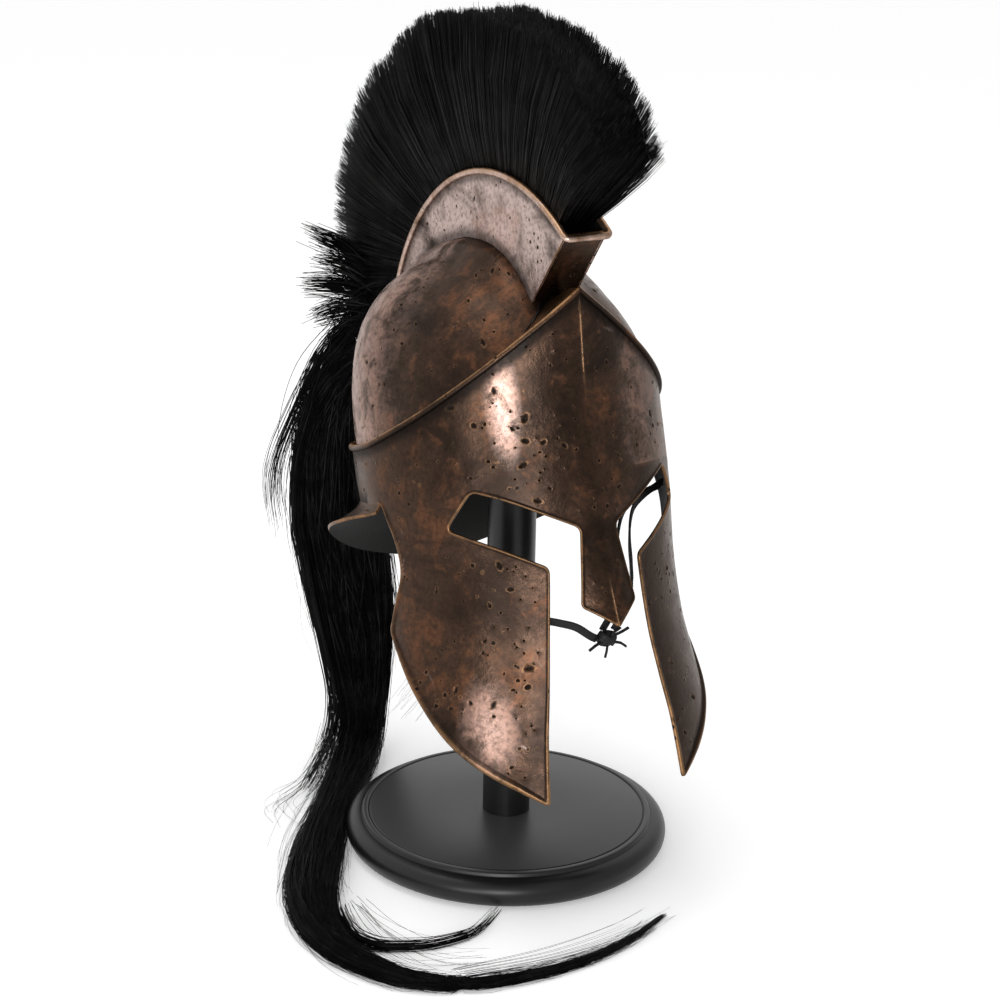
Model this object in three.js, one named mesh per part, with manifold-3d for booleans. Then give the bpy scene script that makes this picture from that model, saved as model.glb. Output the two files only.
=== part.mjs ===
// An ancient Greek bronze helmet with a horsehair crest and tail, on a turned wooden stand.
// Millimetres, +Z up. The origin is on the floor at the middle of the stand, and the face looks along -Y.

import * as THREE from 'three';
import { mergeVertices } from 'three/addons/utils/BufferGeometryUtils.js';
import Module from 'manifold-3d';

const wasm = await Module();
wasm.setup();

// Driving dimensions

const SHEET = 1.5; // thickness of the beaten metal
const SEAT_GAP = 0.3; // clearance between two pieces that touch
const FACET_GAP = 0.8; // the same between two curved pieces whose facets differ
const CROWN_GAP = 1.7; // the same between the post and the inside of the crown
const HELMET_TILT = 16; // degrees that the helmet leans back on its stand
const HELMET_HEIGHT = 304; // height of the helmet's own origin above the floor

// The upper bowl: half width, reach to the front and back of its middle, start and rise of the dome
const SKULL = { halfWidth: 97, middle: 8, front: 106, back: 119, start: -10, rise: 118 };
// Exponent of the dome's profile at its rear and front, and how far ahead the change starts and ends
const SKULL_ROUNDNESS = { rear: 2.8, front: 1.95, from: -0.3, to: 0.4 };
const SKULL_FRONT_SHAPE = 1.87; // exponent of the front half of its plan; 2 is a plain ellipse
const COMB = { height: 8.7, inside: 19, outside: 37, from: 45, to: 92 }; // raised strip under the crest

// Plan sections of the lower bowl, cheeks and nose guard, from the bottom up
const BOWL_SECTIONS = [
  { height: -250, halfWidth: 114, middle: 6, front: 106, back: 102, shape: 1.8, keel: 2 },
  { height: -200, halfWidth: 113, middle: 6, front: 104, back: 104, shape: 1.8, keel: 2 },
  { height: -170, halfWidth: 107, middle: 6, front: 103, back: 105, shape: 1.8, keel: 3 },
  { height: -140, halfWidth: 101, middle: 6, front: 102, back: 106, shape: 1.82, keel: 4 },
  { height: -100, halfWidth: 98.5, middle: 6, front: 103, back: 107, shape: 1.84, keel: 4 },
  { height: -60, halfWidth: 100, middle: 7, front: 106, back: 113, shape: 1.88, keel: 4 },
  { height: -20, halfWidth: 100, middle: 8, front: 106.5, back: 121, shape: 1.9, keel: 4 },
  { height: 20, halfWidth: 99.5, middle: 8, front: 107, back: 122.5, shape: 1.9, keel: 4 },
  { height: 80, halfWidth: 97, middle: 8, front: 113, back: 122, shape: 1.87, keel: 4 },
];
const KEEL_HALF_WIDTH = 42; // the fold down the middle of the face fades out here
const NOSE = { from: -66, to: -133, kick: 14.5, fade: 37, halfWidth: 30 }; // forward kick of the nose guard

// The ridge between the two bowls: degrees round from the front, and height
const RIDGE = [
  { angle: 0, height: 75.5 },
  { angle: 15, height: 57.6 },
  { angle: 30, height: 39.8 },
  { angle: 45, height: 23.4 },
  { angle: 60, height: 9.6 },
  { angle: 75, height: -0.6 },
  { angle: 90, height: -7.3 },
  { angle: 105, height: -10.6 },
  { angle: 120, height: -11 },
  { angle: 180, height: -11 },
];
const RIDGE_ROLL = 2.3; // radius of the rolled edge along the ridge

const NECK_ROOT = -46; // height where the neck guard leaves the lower bowl

// Lower outline of the lower bowl on one side: degrees round from the front, height, corner radius
const FACE_OUTLINE = [
  { angle: -0.5, height: -133, round: 0 },
  { angle: 0, height: -133, round: 0 },
  { angle: 13, height: -118.4, round: 3 },
  { angle: 8.2, height: -70.2, round: 4 },
  { angle: 33, height: -48.2, round: 30 },
  { angle: 44.4, height: -41, round: 5 },
  { angle: 55.2, height: -63.4, round: 6 },
  { angle: 38, height: -76.4, round: 30 },
  { angle: 20.5, height: -92.4, round: 4 },
  { angle: 23, height: -143, round: 60 },
  { angle: 27.4, height: -240, round: 4 },
  { angle: 50, height: -212, round: 30 },
  { angle: 71, height: -171.5, round: 40 },
  { angle: 93, height: -127.5, round: 6 },
  { angle: 79, height: -90, round: 30 },
  { angle: 79.6, height: -70, round: 20 },
  { angle: 86.5, height: NECK_ROOT, round: 4 },
  { angle: 100, height: NECK_ROOT, round: 0 },
];
const REAR_OUTLINE = [
  { angle: 99, height: NECK_ROOT, round: 0 },
  { angle: 180.5, height: NECK_ROOT, round: 0 },
];

// The flared neck guard: degrees round from the front, outward flare, height of its rim
const NECK_RIM = [
  { angle: 89, flare: 3, height: -51 },
  { angle: 104, flare: 16, height: -55 },
  { angle: 122, flare: 25, height: -63 },
  { angle: 150, flare: 31, height: -84 },
  { angle: 180, flare: 34, height: -100 },
];

// The crest box: side plates under an arc, a leaning front plate and an open rear end
const CREST = { halfWidth: 15, arcMiddle: -5.5, arcHeight: -3.5, arcRadius: 160.5, rim: 4, rimProud: 1.2 };
const CREST_FRONT = { top: -121, foot: -28, footHeight: 40 };
const CREST_REAR = 134;
const CREST_STEPS = 16;

// The brush: strands fan out from one middle, in the plane of the crest
const FAN = { middle: 8, height: 52, from: 142, to: 12, depth: 24 };
const FAN_LOCKS = { count: 14, rootHalf: 12.6, tipHalf: 22, uneven: 3, overlap: 0.9 };
const FAN_REACH = [
  { angle: 12, reach: 194 },
  { angle: 24, reach: 208 },
  { angle: 34, reach: 216 },
  { angle: 46, reach: 214 },
  { angle: 58, reach: 210 },
  { angle: 70, reach: 206 },
  { angle: 96, reach: 206 },
  { angle: 110, reach: 206 },
  { angle: 120, reach: 209 },
  { angle: 132, reach: 215 },
  { angle: 144, reach: 218 },
  { angle: 152, reach: 213 },
];

// The tail, in the upright frame: points along its middle, half width across and half thickness
const TAIL = [
  { x: 0, y: 136, z: 316, across: 18.3, thick: 6 },
  { x: 0, y: 150, z: 311, across: 18.3, thick: 8 },
  { x: -8, y: 169, z: 302, across: 19, thick: 12 },
  { x: -22, y: 185, z: 285, across: 22, thick: 16 },
  { x: -37, y: 192, z: 244, across: 28, thick: 19 },
  { x: -40, y: 190, z: 184, across: 31, thick: 20 },
  { x: -33, y: 188, z: 113, across: 27, thick: 17 },
  { x: -24, y: 183, z: 54, across: 20, thick: 13 },
  { x: -27, y: 165, z: 15, across: 17, thick: 10 },
  { x: -52, y: 127, z: 8.5, across: 16, thick: 9 },
  { x: -97, y: 80, z: 7.5, across: 15, thick: 8 },
  { x: -134, y: 19, z: 7.5, across: 17, thick: 8 },
  { x: -161, y: -44, z: 7.5, across: 17, thick: 8 },
  { x: -170, y: -101, z: 6.5, across: 14, thick: 7 },
  { x: -153, y: -147, z: 5.6, across: 10, thick: 6 },
  { x: -114, y: -174, z: 4.8, across: 7, thick: 5 },
  { x: -60, y: -180, z: 4.3, across: 5, thick: 4 },
  { x: -8, y: -170, z: 3.4, across: 3.4, thick: 3 },
  { x: 40, y: -146, z: 2.2, across: 2, thick: 1.8 },
];

// Chin laces, in the upright frame: from inside each temple to the knot under the nose guard
const LACE_RADIUS = 1.7;
const LACE_SIDES = 8;
const KNOT = { x: 6.5, y: -116, z: 188.5, radius: 7 };
const LACE_NEAR = [
  { x: -89.9, y: -40, z: 257 },
  { x: -84, y: -50, z: 244 },
  { x: -72, y: -67, z: 228 },
  { x: -56, y: -87, z: 213 },
  { x: -40, y: -102, z: 205.5 },
  { x: -25, y: -110, z: 202 },
  { x: -14.5, y: -113.5, z: 198.6 },
  { x: -5.5, y: -116, z: 192.2 },
  { x: -0.9, y: -116, z: 189.5 },
];
const LACE_FAR_FRONT = [
  { x: 89.9, y: -40, z: 257 },
  { x: 79, y: -49, z: 258 },
  { x: 64.5, y: -61, z: 259 },
  { x: 46, y: -79, z: 259.5 },
  { x: 36.5, y: -90, z: 255 },
  { x: 31.5, y: -98, z: 244 },
  { x: 29.5, y: -104.5, z: 229 },
  { x: 27.5, y: -109, z: 216 },
  { x: 21.5, y: -112, z: 203 },
  { x: 13.7, y: -112, z: 191.5 },
];
const LACE_FAR_BACK = [
  { x: 89.9, y: -36.4, z: 253.4 },
  { x: 77.7, y: -45.4, z: 255.1 },
  { x: 61.9, y: -57.4, z: 256.8 },
  { x: 42.1, y: -75.4, z: 258.1 },
  { x: 31.3, y: -86.4, z: 254.3 },
  { x: 25, y: -94.4, z: 244 },
  { x: 23, y: -100.9, z: 229 },
  { x: 21, y: -105.4, z: 216 },
  { x: 15, y: -108.4, z: 203 },
  { x: 7.3, y: -108.7, z: 190.9 },
];

// The turned stand
const BASE = { radius: 109.5, height: 22.4, topRadius: 98.5, beadRadius: 9.4, beadHeight: 10 };
const POST = { radius: 16, headRadius: 32, headHeight: 46 };

// Metals, hair, leather and wood
function finish(color, roughness, metalness) {
  return new THREE.MeshStandardMaterial({ color, roughness, metalness });
}
const BRONZE = finish(0x4a2c20, 0.42, 0.9);
const CREST_BRONZE = finish(0x7a5f55, 0.38, 0.9);
const HORSEHAIR = finish(0x0b0a0a, 0.55, 0);
const LEATHER = finish(0x101012, 0.6, 0);
const BLACK_WOOD = finish(0x141416, 0.35, 0);

// Small helpers

const DEGREE = Math.PI / 180;
const vec = (x, y, z) => new THREE.Vector3(x, y, z);
const mix = THREE.MathUtils.lerp;
const signedPower = (value, power) => Math.sign(value) * Math.abs(value) ** power;

const smoothCurve = (points) => new THREE.CatmullRomCurve3(points, false, 'centripetal');

// Evenly spaced values from the first to the last, both included
function stepsFrom(first, last, count) {
  return Array.from({ length: count + 1 }, (_, i) => mix(first, last, i / count));
}

// Smooth value of one column of a table, at a place along another column
function along(rows, key, place, column) {
  const rising = rows[0][key] < rows[rows.length - 1][key];
  const list = rising ? rows : [...rows].reverse();
  const last = list.length - 1;
  const at = THREE.MathUtils.clamp(place, list[0][key], list[last][key]);
  let i = list.findIndex((row) => row[key] >= at) - 1;
  i = THREE.MathUtils.clamp(i, 0, last - 1);
  const slope = (k) => {
    const before = list[Math.max(k - 1, 0)];
    const after = list[Math.min(k + 1, last)];
    return (after[column] - before[column]) / (after[key] - before[key]);
  };
  const span = list[i + 1][key] - list[i][key];
  const t = (at - list[i][key]) / span;
  const rise = list[i + 1][column] - list[i][column];
  const bendIn = slope(i) * span - rise;
  const bendOut = rise - slope(i + 1) * span;
  return list[i][column] + rise * t + t * (1 - t) * (bendIn * (1 - t) + bendOut * t);
}

// Degrees away from the front on either side, from 0 to 180
const awayFromFront = (angle) => Math.abs(THREE.MathUtils.euclideanModulo(angle + 180, 360) - 180);
const ridgeHeight = (angle) => along(RIDGE, 'angle', awayFromFront(angle), 'height');

// A closed geometry from points and triangles, facing out
function closedGeometry(points, triangles) {
  const raw = new THREE.BufferGeometry();
  const numbers = points.flatMap((p) => [p.x, p.y, p.z]);
  raw.setAttribute('position', new THREE.Float32BufferAttribute(numbers, 3));
  raw.setIndex(triangles);
  const merged = mergeVertices(raw, 1e-3);
  const index = merged.index.array;
  const kept = [];
  for (let i = 0; i < index.length; i += 3) {
    const [a, b, c] = index.slice(i, i + 3);
    if (a !== b && b !== c && c !== a) kept.push(a, b, c);
  }
  const position = merged.attributes.position;
  const corner = (i) => vec().fromBufferAttribute(position, i);
  let volume = 0;
  for (let i = 0; i < kept.length; i += 3) {
    volume += corner(kept[i]).dot(corner(kept[i + 1]).cross(corner(kept[i + 2])));
  }
  if (volume < 0) kept.reverse();
  merged.setIndex(kept);
  return merged;
}

// A sheet between two grids of points, with its edges closed; a round one joins its last column to its first
function sheet(outer, inner, round) {
  const columns = outer.length;
  const rows = outer[0].length;
  const points = [...outer.flat(), ...inner.flat()];
  const at = (side, i, j) => side * columns * rows + (i % columns) * rows + j;
  const triangles = [];
  const quad = (a, b, c, d) => triangles.push(a, b, c, a, c, d);
  const spans = round ? columns : columns - 1;
  for (let i = 0; i < spans; i++) {
    for (let j = 0; j < rows - 1; j++) {
      quad(at(0, i, j), at(0, i + 1, j), at(0, i + 1, j + 1), at(0, i, j + 1));
      quad(at(1, i, j), at(1, i, j + 1), at(1, i + 1, j + 1), at(1, i + 1, j));
    }
    quad(at(0, i, 0), at(1, i, 0), at(1, i + 1, 0), at(0, i + 1, 0));
    quad(at(0, i, rows - 1), at(0, i + 1, rows - 1), at(1, i + 1, rows - 1), at(1, i, rows - 1));
  }
  if (!round) {
    for (let j = 0; j < rows - 1; j++) {
      quad(at(0, 0, j), at(0, 0, j + 1), at(1, 0, j + 1), at(1, 0, j));
      quad(at(0, spans, j), at(1, spans, j), at(1, spans, j + 1), at(0, spans, j + 1));
    }
  }
  return closedGeometry(points, triangles);
}

// A solid body through closed rings of points: flat at both ends, or joined round to its first ring
function loft(rings, round = false) {
  const sides = rings[0].length;
  const count = rings.length;
  const points = rings.flat();
  const triangles = [];
  for (let i = 0; i < (round ? count : count - 1); i++) {
    const next = (i + 1) % count;
    for (let j = 0; j < sides; j++) {
      const k = (j + 1) % sides;
      triangles.push(i * sides + j, i * sides + k, next * sides + k);
      triangles.push(i * sides + j, next * sides + k, next * sides + j);
    }
  }
  const last = (count - 1) * sides;
  for (let j = 1; j < sides - 1 && !round; j++) {
    triangles.push(0, j + 1, j, last, last + j, last + j + 1);
  }
  return closedGeometry(points, triangles);
}

// Joins and cuts

function solid(geometry) {
  const bare = geometry.clone();
  bare.deleteAttribute('normal');
  bare.deleteAttribute('uv');
  const merged = mergeVertices(bare, 1e-3);
  const vertProperties = new Float32Array(merged.attributes.position.array);
  const triVerts = new Uint32Array(merged.index.array);
  return new wasm.Manifold(new wasm.Mesh({ numProp: 3, vertProperties, triVerts }));
}

function shape(body) {
  const mesh = body.getMesh();
  const geometry = new THREE.BufferGeometry();
  geometry.setAttribute('position', new THREE.BufferAttribute(new Float32Array(mesh.vertProperties), 3));
  geometry.setIndex(new THREE.BufferAttribute(new Uint32Array(mesh.triVerts), 1));
  return geometry;
}

function piece(name, geometry, material) {
  geometry.computeVertexNormals();
  const mesh = new THREE.Mesh(geometry, material);
  mesh.name = name;
  return mesh;
}

const join = (geometries) => shape(geometries.map(solid).reduce((all, next) => all.add(next)));

// The upper bowl

function skullRoundness(angle) {
  const { rear, front, from, to } = SKULL_ROUNDNESS;
  return mix(rear, front, THREE.MathUtils.smoothstep(Math.cos(angle * DEGREE), from, to));
}

// A point of the dome at degrees round from the front and degrees up from its start
function skullPoint(angle, climb, offset) {
  const side = Math.sin(angle * DEGREE);
  const ahead = Math.cos(angle * DEGREE);
  const power = 2 / (ahead > 0 ? SKULL_FRONT_SHAPE : 2);
  const reach = (ahead > 0 ? SKULL.front : SKULL.back) + offset;
  const profile = 2 / skullRoundness(angle);
  const narrowing = Math.max(Math.cos(climb * DEGREE), 0) ** profile;
  const x = (SKULL.halfWidth + offset) * narrowing * signedPower(side, power);
  const y = SKULL.middle - reach * narrowing * signedPower(ahead, power);
  const z = SKULL.start + (SKULL.rise + offset) * Math.sin(climb * DEGREE) ** profile;
  const nearness = 1 - THREE.MathUtils.smoothstep(Math.abs(x), COMB.inside, COMB.outside);
  return vec(x, y, z + COMB.height * nearness * THREE.MathUtils.smoothstep(z, COMB.from, COMB.to));
}

// Degrees up from the dome's start at which it reaches a height
function climbAt(height, angle) {
  const share = Math.max((height - SKULL.start) / SKULL.rise, 0);
  return Math.asin(share ** (skullRoundness(angle) / 2)) / DEGREE;
}

const SKULL_COLUMNS = 52;
const SKULL_ROWS = 8;

function skullGrid(offset, lowest) {
  return Array.from({ length: SKULL_COLUMNS }, (_, i) => {
    const angle = (360 * i) / SKULL_COLUMNS;
    const start = climbAt(lowest(angle), angle);
    const climbs = stepsFrom(start, 90, SKULL_ROWS);
    return climbs.map((climb) => skullPoint(angle, climb, offset));
  });
}

function makeSkull() {
  const seat = (angle) => ridgeHeight(angle) + SHEET / 2 + FACET_GAP;
  return sheet(skullGrid(0, seat), skullGrid(-SHEET, seat), true);
}

// The space under the dome as a block, to fit other pieces to it
function skullBlock(offset) {
  const grid = skullGrid(offset, () => SKULL.start);
  const rings = Array.from({ length: SKULL_ROWS + 1 }, (_, j) => grid.map((column) => column[j]));
  return solid(loft(rings));
}

// The lower bowl

function bowlPoint(angle, height, offset) {
  const size = (column) => along(BOWL_SECTIONS, 'height', height, column);
  const side = Math.sin(angle * DEGREE);
  const ahead = Math.cos(angle * DEGREE);
  const facing = ahead > 0;
  const power = 2 / (facing ? size('shape') : 2);
  const x = (size('halfWidth') + offset) * signedPower(side, power);
  const reach = (facing ? size('front') - size('keel') : size('back')) + offset;
  let y = size('middle') - reach * signedPower(ahead, power);
  if (facing) {
    y -= size('keel') * Math.max(1 - Math.abs(x) / KEEL_HALF_WIDTH, 0) ** 1.5;
    const drop = THREE.MathUtils.clamp((NOSE.from - height) / (NOSE.from - NOSE.to), 0, 1.2);
    const width = Math.abs(x) < NOSE.halfWidth ? 1 - (x / NOSE.fade) ** 2 : 0;
    y -= NOSE.kick * drop ** 1.2 * width;
  }
  return vec(x, y, height);
}

const BOWL_COLUMNS = 52;
const BOWL_UPPER_ROWS = 3;
const BOWL_LOWER_ROWS = 7;
const BOWL_FLOOR = -251;

// The lower bowl before its outline is cut: a ledge under the dome, the rolled ridge and the wall below it
function makeBowlSheet() {
  const lower = stepsFrom(NECK_ROOT, BOWL_FLOOR, BOWL_LOWER_ROWS).slice(1);
  const rings = Array.from({ length: BOWL_COLUMNS }, (_, i) => {
    const angle = (360 * i) / BOWL_COLUMNS;
    const ridge = ridgeHeight(angle);
    const rim = bowlPoint(angle, ridge, 0);
    const out = vec(rim.x, rim.y - SKULL.middle, 0).normalize();
    const roll = [110, 40, -40].map((turn) => rim.clone()
      .addScaledVector(out, RIDGE_ROLL * Math.cos(turn * DEGREE))
      .add(vec(0, 0, RIDGE_ROLL * Math.sin(turn * DEGREE))));
    const ledge = skullPoint(angle, climbAt(ridge, angle), -SHEET - 1);
    const stop = skullPoint(angle, climbAt(ridge, angle), SEAT_GAP);
    const heights = [...stepsFrom(ridge - 4, NECK_ROOT, BOWL_UPPER_ROWS), ...lower];
    const face = heights.map((height) => bowlPoint(angle, height, 0));
    const back = heights.map((height) => bowlPoint(angle, height, -SHEET)).reverse();
    const hollow = bowlPoint(angle, ridge - 2.4, -SHEET - 0.4);
    const top = [ledge.clone().setZ(ridge + SHEET / 2), stop.setZ(ridge + SHEET / 2)];
    return [...top, ...roll, ...face, ...back, hollow, ledge.clone().setZ(ridge - SHEET / 2)];
  });
  return loft(rings, true);
}

// Everything under the ledge as a block, to fit the crest box to it
function ledgeBlock(gap) {
  const turns = stepsFrom(0, 360, BOWL_COLUMNS).slice(1);
  const seat = (angle) => skullPoint(angle, climbAt(ridgeHeight(angle), angle), -SHEET - 1)
    .setZ(ridgeHeight(angle) + SHEET / 2 + gap);
  const rim = (angle) => bowlPoint(angle, ridgeHeight(angle), 0);
  return solid(loft([
    turns.map(seat),
    turns.map((angle) => rim(angle).add(vec(0, 0, RIDGE_ROLL + gap))),
    turns.map((angle) => rim(angle).setZ(BOWL_FLOOR)),
  ]));
}

// Outline points with their corners rounded, in degrees and heights
const DEGREE_LENGTH = 1.75; // about one degree's length on the bowl
function roundedOutline(rows) {
  const flat = rows.map((row) => new THREE.Vector2(row.angle * DEGREE_LENGTH, row.height));
  const points = [];
  flat.forEach((corner, i) => {
    const radius = rows[i].round;
    if (!radius) {
      points.push(corner);
      return;
    }
    const before = flat[i - 1].clone().sub(corner);
    const after = flat[i + 1].clone().sub(corner);
    const reach = Math.min(radius, before.length() * 0.48, after.length() * 0.48);
    const from = corner.clone().addScaledVector(before.normalize(), reach);
    const to = corner.clone().addScaledVector(after.normalize(), reach);
    const bend = new THREE.QuadraticBezierCurve(from, corner, to);
    points.push(...bend.getPoints(radius > 10 ? 4 : 3));
  });
  return points.map((p) => ({ angle: p.x / DEGREE_LENGTH, height: p.y }));
}

// Everything below an outline on one side, as a wedge that runs out from the helmet's middle
const CUT = { layers: [4, 1.03, 0.96, 0.2], floor: -262, step: 7 };
function cutBelow(rows, side) {
  const outline = roundedOutline(rows);
  const first = outline[0].angle;
  const last = outline[outline.length - 1].angle;
  outline.push({ angle: last, height: CUT.floor }, { angle: first, height: CUT.floor });
  const fine = outline.flatMap((point, i) => {
    const next = outline[(i + 1) % outline.length];
    const steps = Math.max(1, Math.ceil(Math.abs(next.angle - point.angle) / CUT.step));
    return Array.from({ length: steps }, (_, k) => ({
      angle: mix(point.angle, next.angle, k / steps),
      height: mix(point.height, next.height, k / steps),
    }));
  });
  const flat = (points) => points.map((p) => new THREE.Vector2(p.angle, p.height));
  if (THREE.ShapeUtils.isClockWise(flat(fine))) fine.reverse();
  const place = (scale) => fine.map(({ angle, height }) => {
    const p = bowlPoint(side * angle, Math.max(height, BOWL_FLOOR), 0);
    return vec(p.x * scale, SKULL.middle + (p.y - SKULL.middle) * scale, height);
  });
  const count = fine.length;
  const bottom = count * (CUT.layers.length - 1);
  const faces = THREE.ShapeUtils.triangulateShape(flat(fine), []);
  const triangles = faces.flatMap(([a, b, c]) => [a, b, c, a + bottom, c + bottom, b + bottom]);
  for (let start = 0; start < bottom; start += count) {
    for (let i = 0; i < count; i++) {
      const a = start + i;
      const b = start + ((i + 1) % count);
      triangles.push(b, a, a + count, b, a + count, b + count);
    }
  }
  return solid(closedGeometry(CUT.layers.flatMap(place), triangles));
}

function makeFacePlate() {
  const cutters = [1, -1].flatMap((side) => [cutBelow(FACE_OUTLINE, side), cutBelow(REAR_OUTLINE, side)]);
  return shape(cutters.reduce((body, cutter) => body.subtract(cutter), solid(makeBowlSheet())));
}

// The neck guard

const NECK_COLUMNS = 30;
const NECK_ROWS = 4;

function neckPoint(angle, share) {
  const turn = Math.min(angle, 360 - angle);
  const flare = along(NECK_RIM, 'angle', turn, 'flare');
  const rim = along(NECK_RIM, 'angle', turn, 'height');
  return bowlPoint(angle, mix(NECK_ROOT - SEAT_GAP, rim, share), flare * share ** 1.6);
}

function makeNeckGuard() {
  const first = NECK_RIM[0].angle;
  const outer = [];
  const inner = [];
  for (let i = 0; i <= NECK_COLUMNS; i++) {
    const angle = mix(first, 360 - first, i / NECK_COLUMNS);
    const rows = stepsFrom(0, 1, NECK_ROWS);
    outer.push(rows.map((share) => neckPoint(angle, share)));
    inner.push(rows.map((share) => {
      const across = neckPoint(angle + 0.5, share).sub(neckPoint(angle - 0.5, share));
      const down = neckPoint(angle, share + 0.02).sub(neckPoint(angle, share - 0.02));
      const normal = share === 0 ? vec(0, 0, 0) : across.cross(down).normalize();
      const root = neckPoint(angle, share);
      if (share > 0) return root.addScaledVector(normal, SHEET);
      return bowlPoint(angle, root.z, -SHEET);
    }));
  }
  return sheet(outer, inner, false);
}

// The crest box

function crestArc(y, drop) {
  return CREST.arcHeight + Math.sqrt((CREST.arcRadius - drop) ** 2 - (y - CREST.arcMiddle) ** 2);
}

// Side outline in the plane of the crest: a leaning front edge, an arc on top and an upright rear edge
function crestOutline({ front, foot, rear, drop, floor }) {
  const top = stepsFrom(front, rear, CREST_STEPS).map((y) => new THREE.Vector2(y, crestArc(y, drop)));
  return new THREE.Shape([new THREE.Vector2(foot, floor), ...top, new THREE.Vector2(rear, floor)]);
}

// A slab in the plane of the crest, centred on the helmet's middle
function crestSlab(outline, halfWidth) {
  const slab = new THREE.ExtrudeGeometry(outline, { depth: 2 * halfWidth, bevelEnabled: false, steps: 1 });
  const toHelmet = new THREE.Matrix4().makeBasis(vec(0, 1, 0), vec(0, 0, 1), vec(1, 0, 0));
  return slab.applyMatrix4(toHelmet.setPosition(-halfWidth, 0, 0));
}

// The box's outline, and the outline of its hollow, each grown or shrunk by a clearance
const crestSides = (clearance) => ({
  front: CREST_FRONT.top - clearance,
  foot: CREST_FRONT.foot - clearance,
  rear: CREST_REAR + clearance,
  drop: -clearance,
  floor: CREST_FRONT.footHeight,
});
const crestInside = (clearance) => ({
  front: CREST_FRONT.top + 2 * SHEET + clearance,
  foot: CREST_FRONT.foot + 2 * SHEET + clearance,
  rear: CREST_REAR + 9,
  drop: -20,
  floor: CREST_FRONT.footHeight,
});

function makeCrestBox() {
  const under = { ...crestSides(9), drop: CREST.rim, floor: CREST_FRONT.footHeight - 9 };
  const below = { ...under, foot: under.front };
  const body = solid(crestSlab(crestOutline(crestSides(0)), CREST.halfWidth));
  const rim = solid(crestSlab(crestOutline(crestSides(0)), CREST.halfWidth + CREST.rimProud))
    .subtract(solid(crestSlab(crestOutline(below), CREST.halfWidth + 9)));
  const hollow = solid(crestSlab(crestOutline(crestInside(0)), CREST.halfWidth - SHEET));
  const box = body.add(rim).subtract(hollow);
  return shape(box.subtract(skullBlock(FACET_GAP)).subtract(ledgeBlock(FACET_GAP)));
}

// The brush

// Distance from the fan's middle to the crest box's arc, along one direction
function arcReach(turn) {
  const ahead = new THREE.Vector2(Math.cos(turn * DEGREE), Math.sin(turn * DEGREE));
  const away = new THREE.Vector2(FAN.middle - CREST.arcMiddle, FAN.height - CREST.arcHeight);
  const along = away.dot(ahead);
  return -along + Math.sqrt(along ** 2 + CREST.arcRadius ** 2 - away.lengthSq());
}

// One lock of hair: a wedge from inside the crest box out along its own direction
function fanLock(turn, spread, reach) {
  const out = vec(0, Math.cos(turn * DEGREE), Math.sin(turn * DEGREE));
  const across = vec(0, -out.z, out.y);
  const middle = vec(0, FAN.middle, FAN.height);
  const box = arcReach(turn);
  const sections = [
    { at: box - FAN.depth, half: FAN_LOCKS.rootHalf },
    { at: box + 1, half: FAN_LOCKS.rootHalf },
    { at: mix(box, reach, 0.45), half: mix(FAN_LOCKS.rootHalf, FAN_LOCKS.tipHalf, 0.75) },
    { at: reach - 8, half: FAN_LOCKS.tipHalf },
    { at: reach, half: FAN_LOCKS.tipHalf - 6 },
  ];
  const ring = [[-1, -0.5], [0, -1], [1, -0.5], [1, 0.5], [0, 1], [-1, 0.5]];
  return loft(sections.map(({ at, half }) => ring.map(([a, b]) => middle.clone()
    .addScaledVector(out, at)
    .addScaledVector(across, a * at * Math.tan(spread * DEGREE))
    .add(vec(b * half, 0, 0)))));
}

function makeCrestHair() {
  const step = (FAN.from - FAN.to) / (FAN_LOCKS.count - 1);
  const locks = Array.from({ length: FAN_LOCKS.count }, (_, i) => {
    const turn = FAN.to + step * i;
    const reach = along(FAN_REACH, 'angle', turn, 'reach') + (i % 2 ? FAN_LOCKS.uneven : 0);
    return fanLock(turn, step * FAN_LOCKS.overlap, reach);
  });
  const outside = crestSlab(crestOutline(crestSides(SEAT_GAP)), CREST.halfWidth + CREST.rimProud + SEAT_GAP);
  const inside = crestSlab(crestOutline(crestInside(SEAT_GAP)), CREST.halfWidth - SHEET - SEAT_GAP);
  const walls = solid(outside).subtract(solid(inside));
  return shape(solid(join(locks)).subtract(walls).subtract(skullBlock(FACET_GAP)));
}

// The tail

const TAIL_SIDES = 7;
const TAIL_STEPS = 28;

// One lock that follows the tail, set off to its side, with a share of its width
function tailLock({ from, to, shift, lift, share }) {
  const curve = smoothCurve(TAIL.map(({ x, y, z }) => vec(x, y, z)));
  const rows = TAIL.map((row, i) => ({ ...row, place: i / (TAIL.length - 1) }));
  const steps = Math.round(TAIL_STEPS * (to - from));
  const rings = [];
  for (let i = 0; i <= steps; i++) {
    const place = mix(from, to, i / steps);
    const middle = curve.getPoint(place);
    const ahead = curve.getTangent(place);
    const broad = vec(1, -0.45 * Math.min(1, place * 8), 0);
    const across = broad.addScaledVector(ahead, -ahead.dot(broad)).normalize();
    const up = across.clone().cross(ahead).normalize();
    const end = Math.min(1, (1 - i / steps) * 4 + 0.12);
    const half = along(rows, 'place', place, 'across') * share * end;
    const thick = along(rows, 'place', place, 'thick') * Math.sqrt(share) * end;
    const shifted = middle.addScaledVector(across, shift * along(rows, 'place', place, 'across'))
      .addScaledVector(up, lift * along(rows, 'place', place, 'thick'));
    rings.push(Array.from({ length: TAIL_SIDES }, (_, k) => {
      const turn = (2 * Math.PI * k) / TAIL_SIDES;
      const point = shifted.clone()
        .addScaledVector(across, half * Math.cos(turn))
        .addScaledVector(up, thick * Math.sin(turn));
      point.z = Math.max(point.z, 0.6);
      return point;
    }));
  }
  return loft(rings);
}

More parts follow.
